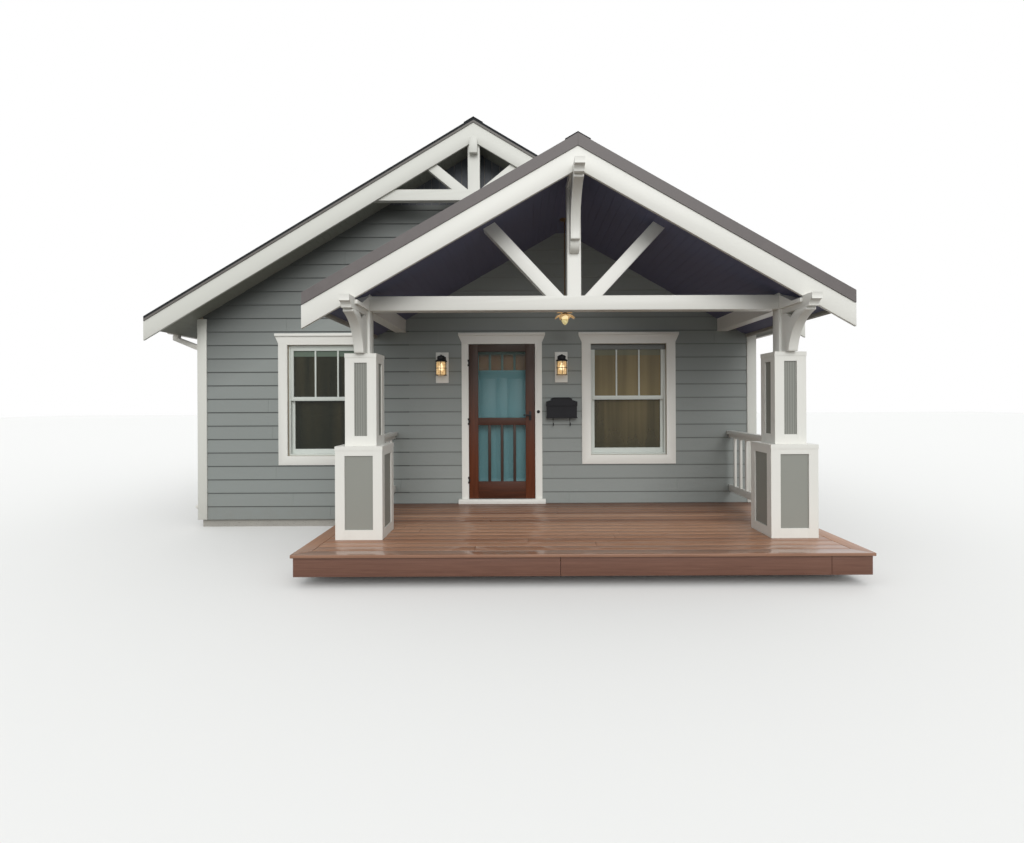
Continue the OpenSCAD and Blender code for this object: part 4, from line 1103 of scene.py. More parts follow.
@dataclass
class RoofSlope:
    """Shingles on one slope: an edge strip, courses and laminated tabs."""

    name: str
    node: str
    side: int
    centre: float
    seat: float
    rise: float
    run: float
    strip: float
    finish: Finish
    edge: Finish
    slot: str
    butt: float = 0.004
    tab: float = 0.003
    edge_inset: float = 0.006
    tab_inset: float = 0.05
    overlap: float = 0.05
    edge_drop: float = 0.003
    sunk: float = 0.004
    tab_lap: float = 0.004
    tab_widths: tuple[float, float] = (0.12, 0.3)
    tab_gaps: tuple[float, float] = (0.08, 0.22)
    least: float = 0.03

    @property
    def slant(self) -> float:
        """The slope's length for each metre across."""
        return math.hypot(1, self.rise)

    def at(self, distance: float, height: float, y: float) -> Vector:
        """Gives the point so far down the slope and so far off it."""
        return Vector((self.centre + self.side * (distance + self.rise * height) / self.slant, y,
                       self.seat + (height - self.rise * distance) / self.slant))

    def edge_board(self, stock: Stock, y: float, depth: float, low: float, high: float) -> None:
        """Lays a strip along the slope between two heights over its seat.

        Args:
            stock: Where the strip goes.
            y: Its front end.
            depth: How far back it reaches.
            low: Its lower side's height.
            high: Its upper side's height.
        """
        run = self.run - self.edge_inset
        line = [Vector((self.centre, y, self.seat)),
                Vector((self.centre + self.side * run, y, self.seat - self.rise * run))]
        rises = [Vector((0, 0, height)) for height in (low, high)]
        stock.prism([line[0] + rises[0], line[1] + rises[0], line[1] + rises[1],
                     line[0] + rises[1]], (0, depth, 0))
        stock.eased(0.002, 1)

    def build(self, chance: random.Random) -> None:
        """Lays the courses from the eave up.

        Args:
            chance: Where the tabs' widths come from.
        """
        low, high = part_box(self.node)
        length, full = self.run * self.slant, high.z - self.seat
        front = low.y + self.edge_inset

        base = Stock()
        self.edge_board(base, front, high.y - front, 0.0, self.strip)
        base.piece(self.name + "_edge", self.edge, self.slot)

        stock = Stock()
        if full - self.edge_drop > self.strip:
            self.edge_board(stock, front, self.tab_inset, self.strip, full - self.edge_drop)
        first = low.y + self.tab_inset
        top = full / self.slant - self.butt - self.tab
        foot_height = min(self.strip / self.slant, top) - self.sunk
        for row in range(math.ceil(length / SHINGLE)):
            foot = length - row * SHINGLE
            head = max(foot - SHINGLE - self.overlap, 0.0)
            tab_head = max(foot - SHINGLE + self.tab_lap, 0.0)
            stock.prism([self.at(foot, foot_height, first), self.at(foot, top + self.butt, first),
                         self.at(head, top, first), self.at(head, foot_height, first)],
                        (0, high.y - first, 0))
            y = first + self.tab_inset
            while y < high.y - self.tab_inset:
                end = min(y + chance.uniform(*self.tab_widths), high.y - self.tab_inset)
                if end - y > self.least:
                    stock.prism([self.at(foot, top + self.butt, y),
                                 self.at(foot, top + self.butt + self.tab, y),
                                 self.at(tab_head, top + self.tab, y),
                                 self.at(tab_head, top, y)], (0, end - y, 0))
                y = end + chance.uniform(*self.tab_gaps)
        stock.cut((self.centre + self.side * self.run, 0, 0), (self.side, 0, 0))
        stock.piece(self.name, self.finish, self.slot, stands_for=[self.node])


@dataclass
class RidgeCaps:
    """Bent cap shingles along both ridges."""

    reach: float = 0.12
    thick: float = 0.006
    lift: float = 0.005
    inset: float = 0.012

    def build(self) -> None:
        """Laps the caps from the back to the front."""
        main_low, main_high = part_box("main_shingles_left")
        porch_low, porch_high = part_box("porch_shingles_left")
        stock = Stock()
        for centre, front, back, top, rise in (
                (0.0, main_low.y, main_high.y, main_high.z, MAIN_RISE),
                (PORCH_X, porch_low.y, porch_high.y, porch_high.z, PORCH_RISE)):
            low = top + self.lift
            edge = low - rise * self.reach
            points = [(-self.reach, edge), (0, low), (self.reach, edge)]
            outline = points + [(x, z + self.thick) for x, z in reversed(points)]
            for i in range(math.ceil((back - front - self.inset) / SHINGLE)):
                y = front + self.inset + i * SHINGLE
                length = min(y + 2 * SHINGLE, back) - y
                stock.prism([(centre + x, y, z) for x, z in outline],
                            (0, length, -self.lift * length / SHINGLE / 2))
        stock.piece("ridge_cap_shingles", CAPS, "ridge_cap", stands_for=["ridge_caps"])


@dataclass
class BoardedUnderside:
    """Narrow boards under a roof slope."""

    name: str
    finish: Finish
    slot: str
    centre: float
    ridge: float
    rise: float
    reach: float
    spans: list[tuple[float, float, float]]
    gap: float = 0.003
    board: float = 0.092
    thick: float = 0.009
    lap: float = 0.001
    slack: float = 0.01

    def build(self) -> None:
        """Fixes the boards, which run level, side by side down the slope."""
        stock = Stock()
        slant = math.hypot(1, self.rise)
        step = self.board / slant
        for side in SIDES:
            for i in range(math.floor(self.reach / step)):
                near, far = i * step, (i + 1) * step - self.gap / slant
                outline = [(x, self.ridge - self.rise * x + drop)
                           for x, drop in ((near, self.lap), (far, self.lap),
                                           (far, -self.thick * slant),
                                           (near, -self.thick * slant))]
                for start, end, first in self.spans:
                    if near >= first - self.slack:
                        stock.slab([(self.centre + side * x, z) for x, z in outline], start,
                                   end - start)
        stock.piece(self.name, self.finish, self.slot)


@dataclass
class Roofs:
    """Both gabled roofs with their undersides, edges, gutters and pipes."""

    shell: HouseShell
    main_seat: float = 5.14998
    porch_seat: float = 4.0364
    main_run: float = 4.151
    porch_run: float = 2.59
    main_strip: float = 0.03
    porch_strip: float = 0.117
    soffit_reach: float = 4.0
    ceiling_reach: float = 2.44
    ceiling_gap: float = 0.0015
    wall_lap: float = 0.01
    hanger_pitch: float = 0.8
    hanger_first: float = 0.2
    hanger_reach: float = 0.118
    hanger_inset: float = 0.004
    hanger_width: float = 0.025
    hanger_drops: tuple[float, float] = (0.018, 0.014)
    pipe: float = 0.08
    clip_reach: float = 0.084
    clip_lap: float = 0.003
    clip_height: float = 0.03
    clips: tuple[float, ...] = (0.9, 2.1)

    def build(self) -> None:
        """Builds the slopes, then what hangs from them."""
        chance = random.Random(11)
        for word, side in zip(("left", "right"), SIDES):
            RoofSlope(f"main_roof_shingles_{word}", f"main_shingles_{word}", side, 0.0,
                      self.main_seat, MAIN_RISE, self.main_run, self.main_strip, SHINGLES,
                      EDGE_STRIP, "shingle").build(chance)
            RoofSlope(f"porch_roof_shingles_{word}", f"porch_shingles_{word}", side, PORCH_X,
                      self.porch_seat, PORCH_RISE, self.porch_run, self.porch_strip,
                      PORCH_SHINGLES, ROOF_EDGE, "porch_shingle").build(chance)
        RidgeCaps().build()
        roof_low, roof_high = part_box("main_roof_left")
        lap = self.wall_lap
        BoardedUnderside("soffit_boards", SOFFIT_GREY, "soffit", 0.0, self.shell.ridge,
                         MAIN_RISE, self.soffit_reach,
                         [(roof_low.y, FRONT + lap, 0.0), (REAR - lap, roof_high.y, 0.0),
                          (FRONT + lap, REAR - lap, self.shell.half)]).build()
        porch_low, porch_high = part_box("porch_roof_left")
        BoardedUnderside("porch_ceiling_boards", CEILING, "ceiling", PORCH_X, CEILING_TOP,
                         PORCH_RISE, self.ceiling_reach, [(porch_low.y, porch_high.y, 0.0)],
                         self.ceiling_gap).build()
        dress(SOFFIT_GREY, "main_roof_left", "main_roof_right")
        dress(CEILING, "porch_roof_left", "porch_roof_right")
        soften("porch_ridge_board", "porch_ceiling_ridge_board", CEILING, "ceiling")
        soften("main_rake_boards", "house_rake_boards", GABLE_TRIM)
        soften("porch_rake_boards", "porch_barge_boards", TRIM)
        soften("eave_fascias", "eave_boards", EAVE_TRIM)
        soften("gutters", "eave_gutters", GUTTER_METAL, "gutter_metal", 0.0015)
        soften("downspouts", "wall_downspouts", GUTTER_METAL, "gutter_metal", 0.012)
        self.hangers()

    def hangers(self) -> None:
        """Adds the gutters' straps and the pipes' clips."""
        low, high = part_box("gutters")
        pipe_low, pipe_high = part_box("downspouts")
        foot, head = (high.z - drop for drop in self.hanger_drops)
        stock = Stock()
        count = int((high.y - low.y) / self.hanger_pitch) + 1
        for side, edge, near in ((-1, low.x, pipe_low.y), (1, high.x, pipe_high.y - self.pipe)):
            for i in range(count):
                y = low.y + self.hanger_first + i * self.hanger_pitch
                stock.board((edge - side * self.hanger_inset, y, foot),
                            (edge - side * self.hanger_reach, y + self.hanger_width, head))
            wall = side * self.shell.half
            for z in self.clips:
                stock.board((wall, near - self.clip_lap, z),
                            (wall + side * self.clip_reach, near + self.pipe + self.clip_lap,
                             z + self.clip_height))
        stock.eased(0.001, 1).piece("gutter_straps", GUTTER_METAL, "gutter_metal")


@dataclass
class Trim:
    """White boards of the gables, the porch's frame and the openings."""

    timber: float = 0.005
    bracket: float = 0.004
    casing: float = 0.0025
    jamb: float = 0.002
    sash: float = 0.0015

    def build(self) -> None:
        """Eases the edges of each of them."""
        soften("corner_boards", "house_corner_boards", CORNER_TRIM)
        soften("gable_truss", "house_gable_truss", GABLE_TRIM)
        soften("porch_posts", "porch_post_timbers", TRIM_UPRIGHT, width=self.timber)
        soften("porch_beams", "porch_beam_timbers", TRIM_DEEP, width=self.timber)
        soften("porch_truss", "porch_truss_timbers", TRIM, width=self.timber)
        soften("knee_brackets", "porch_knee_brackets", TRIM_UPRIGHT, width=self.bracket)
        soften("window_casings", "window_casing_boards", TRIM_UPRIGHT, width=self.casing)
        soften("door_casing", "door_casing_boards", TRIM_UPRIGHT, width=self.casing)
        soften("door_frame", "door_jambs", TRIM_UPRIGHT, width=self.jamb)
        soften("window_frames", "window_sashes", WINDOW_WHITE, "window_paint", self.sash)
        soften("lantern_blocks", "lantern_mounting_blocks", TRIM_UPRIGHT, width=self.bracket)


@dataclass
class Deck:
    """Decking with a mitred border, and the fascia boards round it."""

    board: float = 0.14
    gap: float = 0.005
    butt: float = 0.002
    rows: int = 16
    joint_inset: float = 0.6
    border_pitch: float = 0.3
    border_start: float = 0.05
    border_ease: float = 0.004
    fascia: float = 0.026
    fascia_gap: float = 0.003
    fascia_joints: tuple[float, ...] = (0.929, 3.333)
    # The deck's stain, partly its own colour and partly lightened as a painted reflection of the
    # sky on the wet boards.
    sky_lightened_shades: tuple[Colour, ...] = (paint(120, 80, 58), paint(156, 114, 88), paint(184, 142, 114))

    def build(self) -> None:
        """Lays the boards on the frame, then the border round them."""
        low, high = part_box("porch_deck")
        chance = random.Random(3)
        left_end, right_end = low.x + self.board, high.x - self.board
        start = low.y + self.board
        pitch = (high.y - start) / self.rows
        field = Stock()
        for row in range(self.rows):
            near = start + row * pitch + self.gap
            joint = chance.uniform(left_end + self.joint_inset, right_end - self.joint_inset)
            for left, right in ((left_end + self.gap, joint),
                                (joint + self.butt, right_end - self.gap)):
                field.board((left, near, low.z), (right, near + pitch - self.gap, high.z))
        field.eased().piece(
            "deck_boards",
            DeckStain("wet_deck_stain", *self.sky_lightened_shades, Axis.X, Axis.Y, pitch, start),
            "deck_boards", stands_for=["porch_deck"])

        rise = (0, 0, high.z - low.z)
        front, sides = Stock(), Stock()
        front.prism([(low.x, low.y, low.z), (high.x, low.y, low.z),
                     (right_end, start, low.z), (left_end, start, low.z)], rise)
        for edge, inner in ((low.x, left_end), (high.x, right_end)):
            sides.prism([(edge, low.y + self.gap, low.z), (edge, high.y, low.z),
                         (inner, high.y, low.z), (inner, start + self.gap, low.z)], rise)
        for stock, name, stain, axis, across, first in (
                (front, "deck_front_border", "wet_border_stain", Axis.X, Axis.Y, low.y),
                (sides, "deck_side_borders", "wet_side_border_stain", Axis.Y, Axis.X, low.x)):
            finish = DeckStain(stain, *self.sky_lightened_shades, axis, across, self.border_pitch,
                               first - self.border_start)
            stock.eased(self.border_ease, 3).piece(name, finish, "deck_boards")
        self.skirt()
        dress(JOIST, "deck_frame")

    def skirt(self) -> None:
        """Fixes the fascia boards, butted at their joints."""
        low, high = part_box("deck_fascia")
        stock = Stock()
        for left, right in pairwise([low.x, *self.fascia_joints, high.x]):
            stock.board((left, low.y, low.z), (right - self.fascia_gap * (right < high.x),
                                               low.y + self.fascia, high.z))
        for edge, way in ((low.x, 1), (high.x, -1)):
            stock.board((edge, low.y + self.fascia + self.butt, low.z),
                        (edge + way * self.fascia, high.y, high.z))
        stock.eased().piece("deck_fascia_boards", FASCIA_STAIN, "deck_boards",
                            stands_for=["deck_fascia"])


@dataclass
class Piers:
    """Both panelled piers, a wide base under a slim column."""

    out: float = 1.65
    base: float = 0.463
    base_top: float = 1.216
    column: float = 0.312
    column_top: float = 2.1338
    deck: float = 0.3
    board: float = 0.093
    foot: float = 0.096
    thick: float = 0.012
    cap: float = 0.042
    lip: float = 0.003
    ease: float = 0.0008

    def tier(self, stock: Stock, x: float, width: float, low: float, high: float) -> None:
        """Boards one tier and caps it.

        Args:
            stock: Where the boards go.
            x: The pier's centre.
            width: The tier's width.
            low: Its foot.
            high: The top of its cap.
        """
        y, half = FRONT - self.out, width / 2
        skin, inner, wide = half - self.thick, half - self.board, half + self.lip
        top = high - self.cap
        for way in SIDES:
            for side in SIDES:
                stock.board((x + side * half, y + way * half, low),
                            (x + side * inner, y + way * skin, top))
                stock.board((x + way * half, y + side * skin, low),
                            (x + way * skin, y + side * inner, top))
            for foot, head in ((low, low + self.foot), (top - self.board + self.cap, top)):
                stock.board((x - inner, y + way * half, foot), (x + inner, y + way * skin, head))
                stock.board((x + way * half, y - inner, foot), (x + way * skin, y + inner, head))
        stock.board((x - wide, y - wide, top), (x + wide, y + wide, high))

    def build(self) -> None:
        """Boards both piers."""
        stock = Stock()
        for side in SIDES:
            x = PORCH_X + side * PIER_SPACING / 2
            self.tier(stock, x, self.base, self.deck, self.base_top)
            self.tier(stock, x, self.column, self.base_top, self.column_top)
        stock.eased(self.ease, 1).piece("pier_boards", TRIM_UPRIGHT, "trim",
                                        stands_for=["pier_trim"])
        dress(PANEL_GREY, "pier_panels")


@dataclass
class Railings:
    """A railing on each side, from the house to a pier."""

    out: float = 0.095
    length: float = 1.4185
    cap_w: float = 0.092
    cap_t: float = 0.046
    top: float = 1.249
    rail_t: float = 0.04
    rail_h: float = 0.088
    foot: float = 0.452
    baluster: float = 0.031
    pitch: float = 0.18
    lip: float = 0.003
    tenon: float = 0.001
    ease: float = 0.004

    def build(self) -> None:
        """Fixes the rails, then the balusters between them."""
        stock = Stock()
        end = FRONT - self.length
        bays = math.ceil(self.length / self.pitch)
        step = self.length / bays
        cap, rail, half = self.cap_w / 2, self.rail_t / 2, self.baluster / 2
        under, foot_top = self.top - self.cap_t, self.foot + self.rail_h
        head = under - self.rail_h / 2
        for side in SIDES:
            x = PORCH_X + side * (PIER_SPACING / 2 + self.out)
            stock.board((x - cap, end + self.lip, under), (x + cap, FRONT, self.top))
            stock.board((x - rail, end + self.lip, head), (x + rail, FRONT, under))
            stock.board((x - rail, end, self.foot), (x + rail, FRONT, foot_top))
            for i in range(1, bays):
                y = FRONT - i * step
                stock.board((x - half, y - half, foot_top - self.tenon), (x + half, y + half, head))
        stock.eased(self.ease).piece("porch_railing_boards", TRIM_UPRIGHT, "trim",
                                     stands_for=["porch_railings"])


@dataclass
class DoorLeaf:
    """Sizes that the two doors share, and their hinge knuckles."""

    left: float = -0.105
    width: float = 0.87
    foot: float = 0.365
    height: float = 2.04
    hinge_x: float = -0.1075
    pin: float = 0.008
    knuckle: float = 0.006
    knuckle_h: float = 0.036
    plate: float = 0.014
    spots: tuple[float, ...] = (0.12, 0.5, 0.88)
    tenon: float = 0.002
    set_back: float = 0.001
    spindle: float = 0.009

    @property
    def right(self) -> float:
        """The latch edge."""
        return self.left + self.width

    @property
    def top(self) -> float:
        """The leaf's top."""
        return self.foot + self.height

    def knuckles(self, stock: Stock, face: float, way: int) -> None:
        """Adds the leaf's own knuckles and their plates.

        Args:
            stock: Where they go.
            face: The Y of the leaf's face.
            way: 1 where the pin stands behind the face, -1 where it stands in front.
        """
        pin = face + way * self.pin
        for spot in self.spots:
            low = self.foot + self.height * spot - self.knuckle_h / 2
            high = low + self.knuckle_h
            stock.rod((self.hinge_x, pin, low), (self.hinge_x, pin, high), self.knuckle, 20)
            stock.board((self.hinge_x, pin, low), (self.hinge_x + self.plate, face, high))


@dataclass
class ScreenDoor:
    """The stained screen door with its cloth, slats and pull."""

    leaf: DoorLeaf
    near: float = FRONT - CASING
    thick: float = 0.032
    stile: float = 0.122
    top_rail: float = 0.096
    mid_rail: float = 0.098
    mid_top: float = 1.434
    bottom_rail: float = 0.226
    slat: float = 0.038
    slat_inset: float = 0.003
    slats: int = 3
    ease: float = 0.004
    handle_z: float = 1.468
    plate_half: float = 0.016
    plate_foot: float = 0.07
    plate_head: float = 0.05
    plate_out: float = 0.004
    spindle_out: float = 0.046
    lever: float = 0.09
    lever_half: float = 0.009
    lever_out: tuple[float, float] = (0.05, 0.036)

    def build(self) -> None:
        """Joins the stiles, then the rails and slats, and hangs the fittings."""
        leaf, near, far = self.leaf, self.near, self.near + self.thick
        inner_left, inner_right = leaf.left + self.stile, leaf.right - self.stile
        low_end, mid_low = leaf.foot + self.bottom_rail, self.mid_top - self.mid_rail
        uprights, slats, rails = Stock(), Stock(), Stock()
        for left, right in ((leaf.left, inner_left), (inner_right, leaf.right)):
            uprights.board((left, near, leaf.foot), (right, far, leaf.top))
        step = (inner_right - inner_left + self.slat) / (self.slats + 1)
        for i in range(1, self.slats + 1):
            left = inner_left - self.slat + step * i
            slats.board((left, near + self.slat_inset, low_end - leaf.tenon),
                        (left + self.slat, far - self.slat_inset, mid_low + leaf.tenon))
        for low, high in ((leaf.foot, low_end), (mid_low, self.mid_top),
                          (leaf.top - self.top_rail, leaf.top)):
            rails.board((inner_left, near + leaf.set_back, low),
                        (inner_right, far - leaf.set_back, high))
        for stock, word, finish, nodes in ((uprights, "stiles", STAIN_UP, ["screen_door"]),
                                           (slats, "slats", STAIN_SLAT, []),
                                           (rails, "rails", STAIN_ACROSS, [])):
            stock.eased(self.ease).piece(f"screen_door_{word}", finish, "door_stain",
                                         "screen_door", nodes)
        self.fittings()
        dress(CLOTH, "screen_mesh")

    def fittings(self) -> None:
        """Adds the knuckles and the pull."""
        leaf, near, z = self.leaf, self.near, self.handle_z
        x = leaf.right - self.stile / 2
        metal = Stock()
        leaf.knuckles(metal, near, -1)
        metal.board((x - self.plate_half, near - self.plate_out, z - self.plate_foot),
                    (x + self.plate_half, near + leaf.set_back, z + self.plate_head))
        metal.rod((x, near, z), (x, near - self.spindle_out, z), leaf.spindle, 20)
        metal.board((x - self.lever, near - self.lever_out[0], z - self.lever_half),
                    (x + self.lever_half, near - self.lever_out[1], z + self.lever_half))
        metal.eased(0.0012).piece("screen_door_fittings", BLACK, "black_metal", "screen_door")


@dataclass
class EntryDoor:
    """The teal door with four lites, a shelf and two sunk panels."""

    leaf: DoorLeaf
    near: float = FRONT + 0.136
    far: float = FRONT + 0.18
    stile: float = 0.118
    top_rail: float = 0.12
    lite_h: float = 0.215
    lites: int = 4
    shelf_rail: float = 0.1
    bottom_rail: float = 0.23
    bar: float = 0.06
    mullion: float = 0.146
    sunk: float = 0.012
    bead: float = 0.014
    shelf: tuple[tuple[float, float, float, float], ...] = ((0.03, 0.022, 0.034, 0.008),
                                                            (0.02, 0.012, 0.052, 0.034))
    knob_z: float = 1.348
    knob_out: float = 0.062
    spindle_out: float = 0.058
    knob: Profile = ((0.0, 0.0), (0.016, 0.001), (0.025, 0.008), (0.026, 0.013), (0.02, 0.02),
                     (0.0, 0.022))

    def build(self) -> None:
        """Joins the leaf, beads its panels and fits the knobs."""
        leaf, near, far = self.leaf, self.near, self.far
        inset, tenon = leaf.set_back, leaf.tenon
        left, right = leaf.left + self.stile, leaf.right - self.stile
        lite_top = leaf.top - self.top_rail
        lite_low = lite_top - self.lite_h
        panel_top = lite_low - self.shelf_rail
        panel_low = leaf.foot + self.bottom_rail
        half, middle = self.mullion / 2, (left + right) / 2
        panels = ((left, middle - half), (middle + half, right))
        up, bars, across = Stock(), Stock(), Stock()
        for start, end in ((leaf.left, left), (right, leaf.right)):
            up.board((start, near, leaf.foot), (end, far, leaf.top))
        up.board((middle - half, near, panel_low), (middle + half, far, panel_top))
        for start, end in panels:
            up.board((start - tenon, near + self.sunk, panel_low - tenon),
                     (end + tenon, far - self.sunk, panel_top + tenon))
        step = (right - left + self.bar / 2) / self.lites
        for x in (left + step * i for i in range(1, self.lites)):
            bars.board((x - self.bar / 2, near + inset, lite_low - tenon),
                       (x, far - inset, lite_top + tenon))
        bars.board((left, near + inset, lite_top), (right, far - inset, leaf.top))
        for low, high in ((leaf.foot, panel_low), (panel_top, lite_low)):
            across.board((left, near + inset, low), (right, far - inset, high))
        for side, out, low, high in self.shelf:
            across.board((left - side, near - out, lite_low - low),
                         (right + side, near + inset, lite_low - high))
        bead = self.bead
        for start, end in panels:
            for y in (near + self.sunk - bead / 2, far - self.sunk - bead / 2):
                for z in (panel_low, panel_top - bead):
                    across.board((start, y, z), (end, y + bead, z + bead))
                for x in (start, end - bead):
                    across.board((x, y, panel_low + bead), (x + bead, y + bead, panel_top - bead))
        for stock, word, finish, nodes in ((bars, "bars", TEAL_SHADED, []),
                                           (up, "stiles", TEAL_UP, ["entry_door"]),
                                           (across, "rails", TEAL_ACROSS, [])):
            stock.eased().piece(f"entry_door_{word}", finish, "teal_paint", "entry_door", nodes)
        self.fittings()
        dress(DOOR_GLASS, "entry_door_glass")

    def fittings(self) -> None:
        """Adds the knuckles and a knob on each side."""
        near, far, z = self.near, self.far, self.knob_z
        x = self.leaf.right - self.stile / 2
        metal = Stock()
        self.leaf.knuckles(metal, far, 1)
        metal.rod((x, far + self.spindle_out, z), (x, near - self.spindle_out, z),
                  self.leaf.spindle, 20)
        for y in (far + self.knob_out, near - self.knob_out + self.knob[-1][1]):
            metal.turned(self.knob, (x, y, z), lying=True)
        metal.eased(0.001, 1).piece("entry_door_fittings", BLACK, "black_metal", "entry_door")


@dataclass
class Lanterns:
    """Two jar lanterns on blocks beside the doorway."""

    out: float = 0.788
    reach: float = 0.118
    top: float = 2.262
    jar_top: float = 2.178
    jar_low: float = 1.992
    wire: float = 0.0036
    wires: int = 6
    wire_end: float = 0.01
    cage: float = 0.07
    rings: tuple[float, ...] = (0.004, 0.093)
    plate_half: float = 0.05
    plate_y: tuple[float, float] = (0.039, 0.025)
    plate_z: tuple[float, float] = (0.24, 0.02)
    arm_y: float = 0.03
    arm_z: tuple[float, float] = (0.045, 0.03)
    arm: float = 0.009
    cap: Profile = ((0.0, 0.084), (0.012, 0.084), (0.014, 0.076), (0.04, 0.07), (0.05, 0.058),
                    (0.051, 0.022), (0.066, 0.014), (0.077, 0.002), (0.077, -0.006),
                    (0.07, -0.008), (0.0, -0.008))
    glass: Profile = ((0.0, 0.0), (0.042, 0.001), (0.058, 0.008), (0.064, 0.022),
                      (0.064, 0.156), (0.056, 0.178), (0.056, 0.186))
    bulb: Profile = ((0.0, 0.062), (0.014, 0.065), (0.027, 0.078), (0.032, 0.097),
                     (0.026, 0.116), (0.014, 0.132), (0.012, 0.155), (0.0, 0.155))

    def build(self) -> None:
        """Turns the caps and jars and bends the cages."""
        metal, glass, bulbs = Stock(), Stock(), Stock()
        y, wire = FRONT - self.reach, self.wire
        loop = [(self.cage + across * wire, up * wire)
                for across, up in ((-1, -1), (1, -1), (1, 1), (-1, 1), (-1, -1))]
        for x in (DOOR_X + side * self.out for side in SIDES):
            metal.board((x - self.plate_half, FRONT - self.plate_y[0], self.top - self.plate_z[0]),
                        (x + self.plate_half, FRONT - self.plate_y[1], self.top - self.plate_z[1]))
            metal.rod((x, FRONT - self.arm_y, self.top - self.arm_z[0]),
                      (x, y, self.top - self.arm_z[1]), self.arm)
            metal.turned(self.cap, (x, y, self.jar_top), 32)
            for ring in self.rings:
                metal.turned(loop, (x, y, self.jar_low + ring), 32)
            for turn in range(self.wires):
                angle = 2 * math.pi * (turn + 0.5) / self.wires
                near, beside = y + math.sin(angle) * self.cage, x + math.cos(angle) * self.cage
                metal.rod((beside, near, self.jar_low),
                          (beside, near, self.jar_top + self.wire_end), wire, 8)
            glass.turned(self.glass, (x, y, self.jar_low), 32)
            bulbs.turned(self.bulb, (x, y, self.jar_low), 20)
        metal.piece("lantern_metal", BLACK, "black_metal", stands_for=["lanterns"])
        glass.piece("lantern_glass_jars", JAR_GLASS, "jar_glass", stands_for=["lantern_jars"])
        bulbs.piece("lantern_bulbs", BULB, "jar_glass")


@dataclass
class Pendant:
    """A brass lamp with amber glass leaves under the porch's ridge beam."""

    y: float = FRONT - 0.56
    foot: float = 2.58
    rise: float = 1.2944
    rod: float = 0.007
    rod_foot: float = 0.12
    rod_head: float = 0.02
    leaves: int = 8
    rose: Profile = ((0.0, 1.2944), (0.06, 1.2944), (0.058, 1.2824), (0.02, 1.2684),
                     (0.0, 1.2684))
    crown: Profile = ((0.0, 0.15), (0.035, 0.148), (0.05, 0.125), (0.03, 0.11), (0.0, 0.11))
    bulb: Profile = ((0.0, 0.064), (0.026, 0.068), (0.04, 0.084), (0.041, 0.104),
                     (0.03, 0.126), (0.0, 0.138))
    bud: Profile = ((0.0, 0.0), (0.01, 0.004), (0.028, 0.022), (0.04, 0.046), (0.042, 0.062),
                    (0.034, 0.074), (0.0, 0.076))
    leaf: tuple[Point, ...] = ((0.02, 0.0, 0.142), (0.088, 0.042, 0.118), (0.13, 0.0, 0.084),
                               (0.088, -0.042, 0.118))
    leaf_thick: float = 0.006
    calyx: tuple[Point, ...] = ((0.03, 0.0, 0.156), (0.066, 0.024, 0.168), (0.104, 0.0, 0.158),
                                (0.066, -0.024, 0.168))
    calyx_thick: float = 0.005

    def build(self) -> None:
        """Hangs the rod and sets the leaves round the bulb."""
        metal, glass, core, bud = Stock(), Stock(), Stock(), Stock()
        centre = (PORCH_X, self.y, self.foot)
        metal.turned(self.rose, centre)
        metal.rod((PORCH_X, self.y, self.foot + self.rod_foot),
                  (PORCH_X, self.y, self.foot + self.rise - self.rod_head), self.rod, 16)
        metal.turned(self.crown, centre)
        for i in range(self.leaves):
            turn = Matrix.Rotation(2 * math.pi * (i + 0.5) / self.leaves, 4, "Z")
            place = Matrix.Translation(Vector(centre)) @ turn
            for outline, thick in ((self.leaf, self.leaf_thick), (self.calyx, self.calyx_thick)):
                glass.prism([place @ Vector(point) for point in outline], (0, 0, -thick))
        core.turned(self.bulb, centre, 20)
        bud.turned(self.bud, centre, self.leaves)
        metal.piece("pendant_metal", BRASS, "brass", stands_for=["porch_pendant"])
        glass.piece("pendant_glass_leaves", AMBER, "brass")
        core.piece("pendant_bulb", PENDANT_BULB, "jar_glass")
        bud.piece("pendant_bud", LAMP_BUD, "jar_glass")


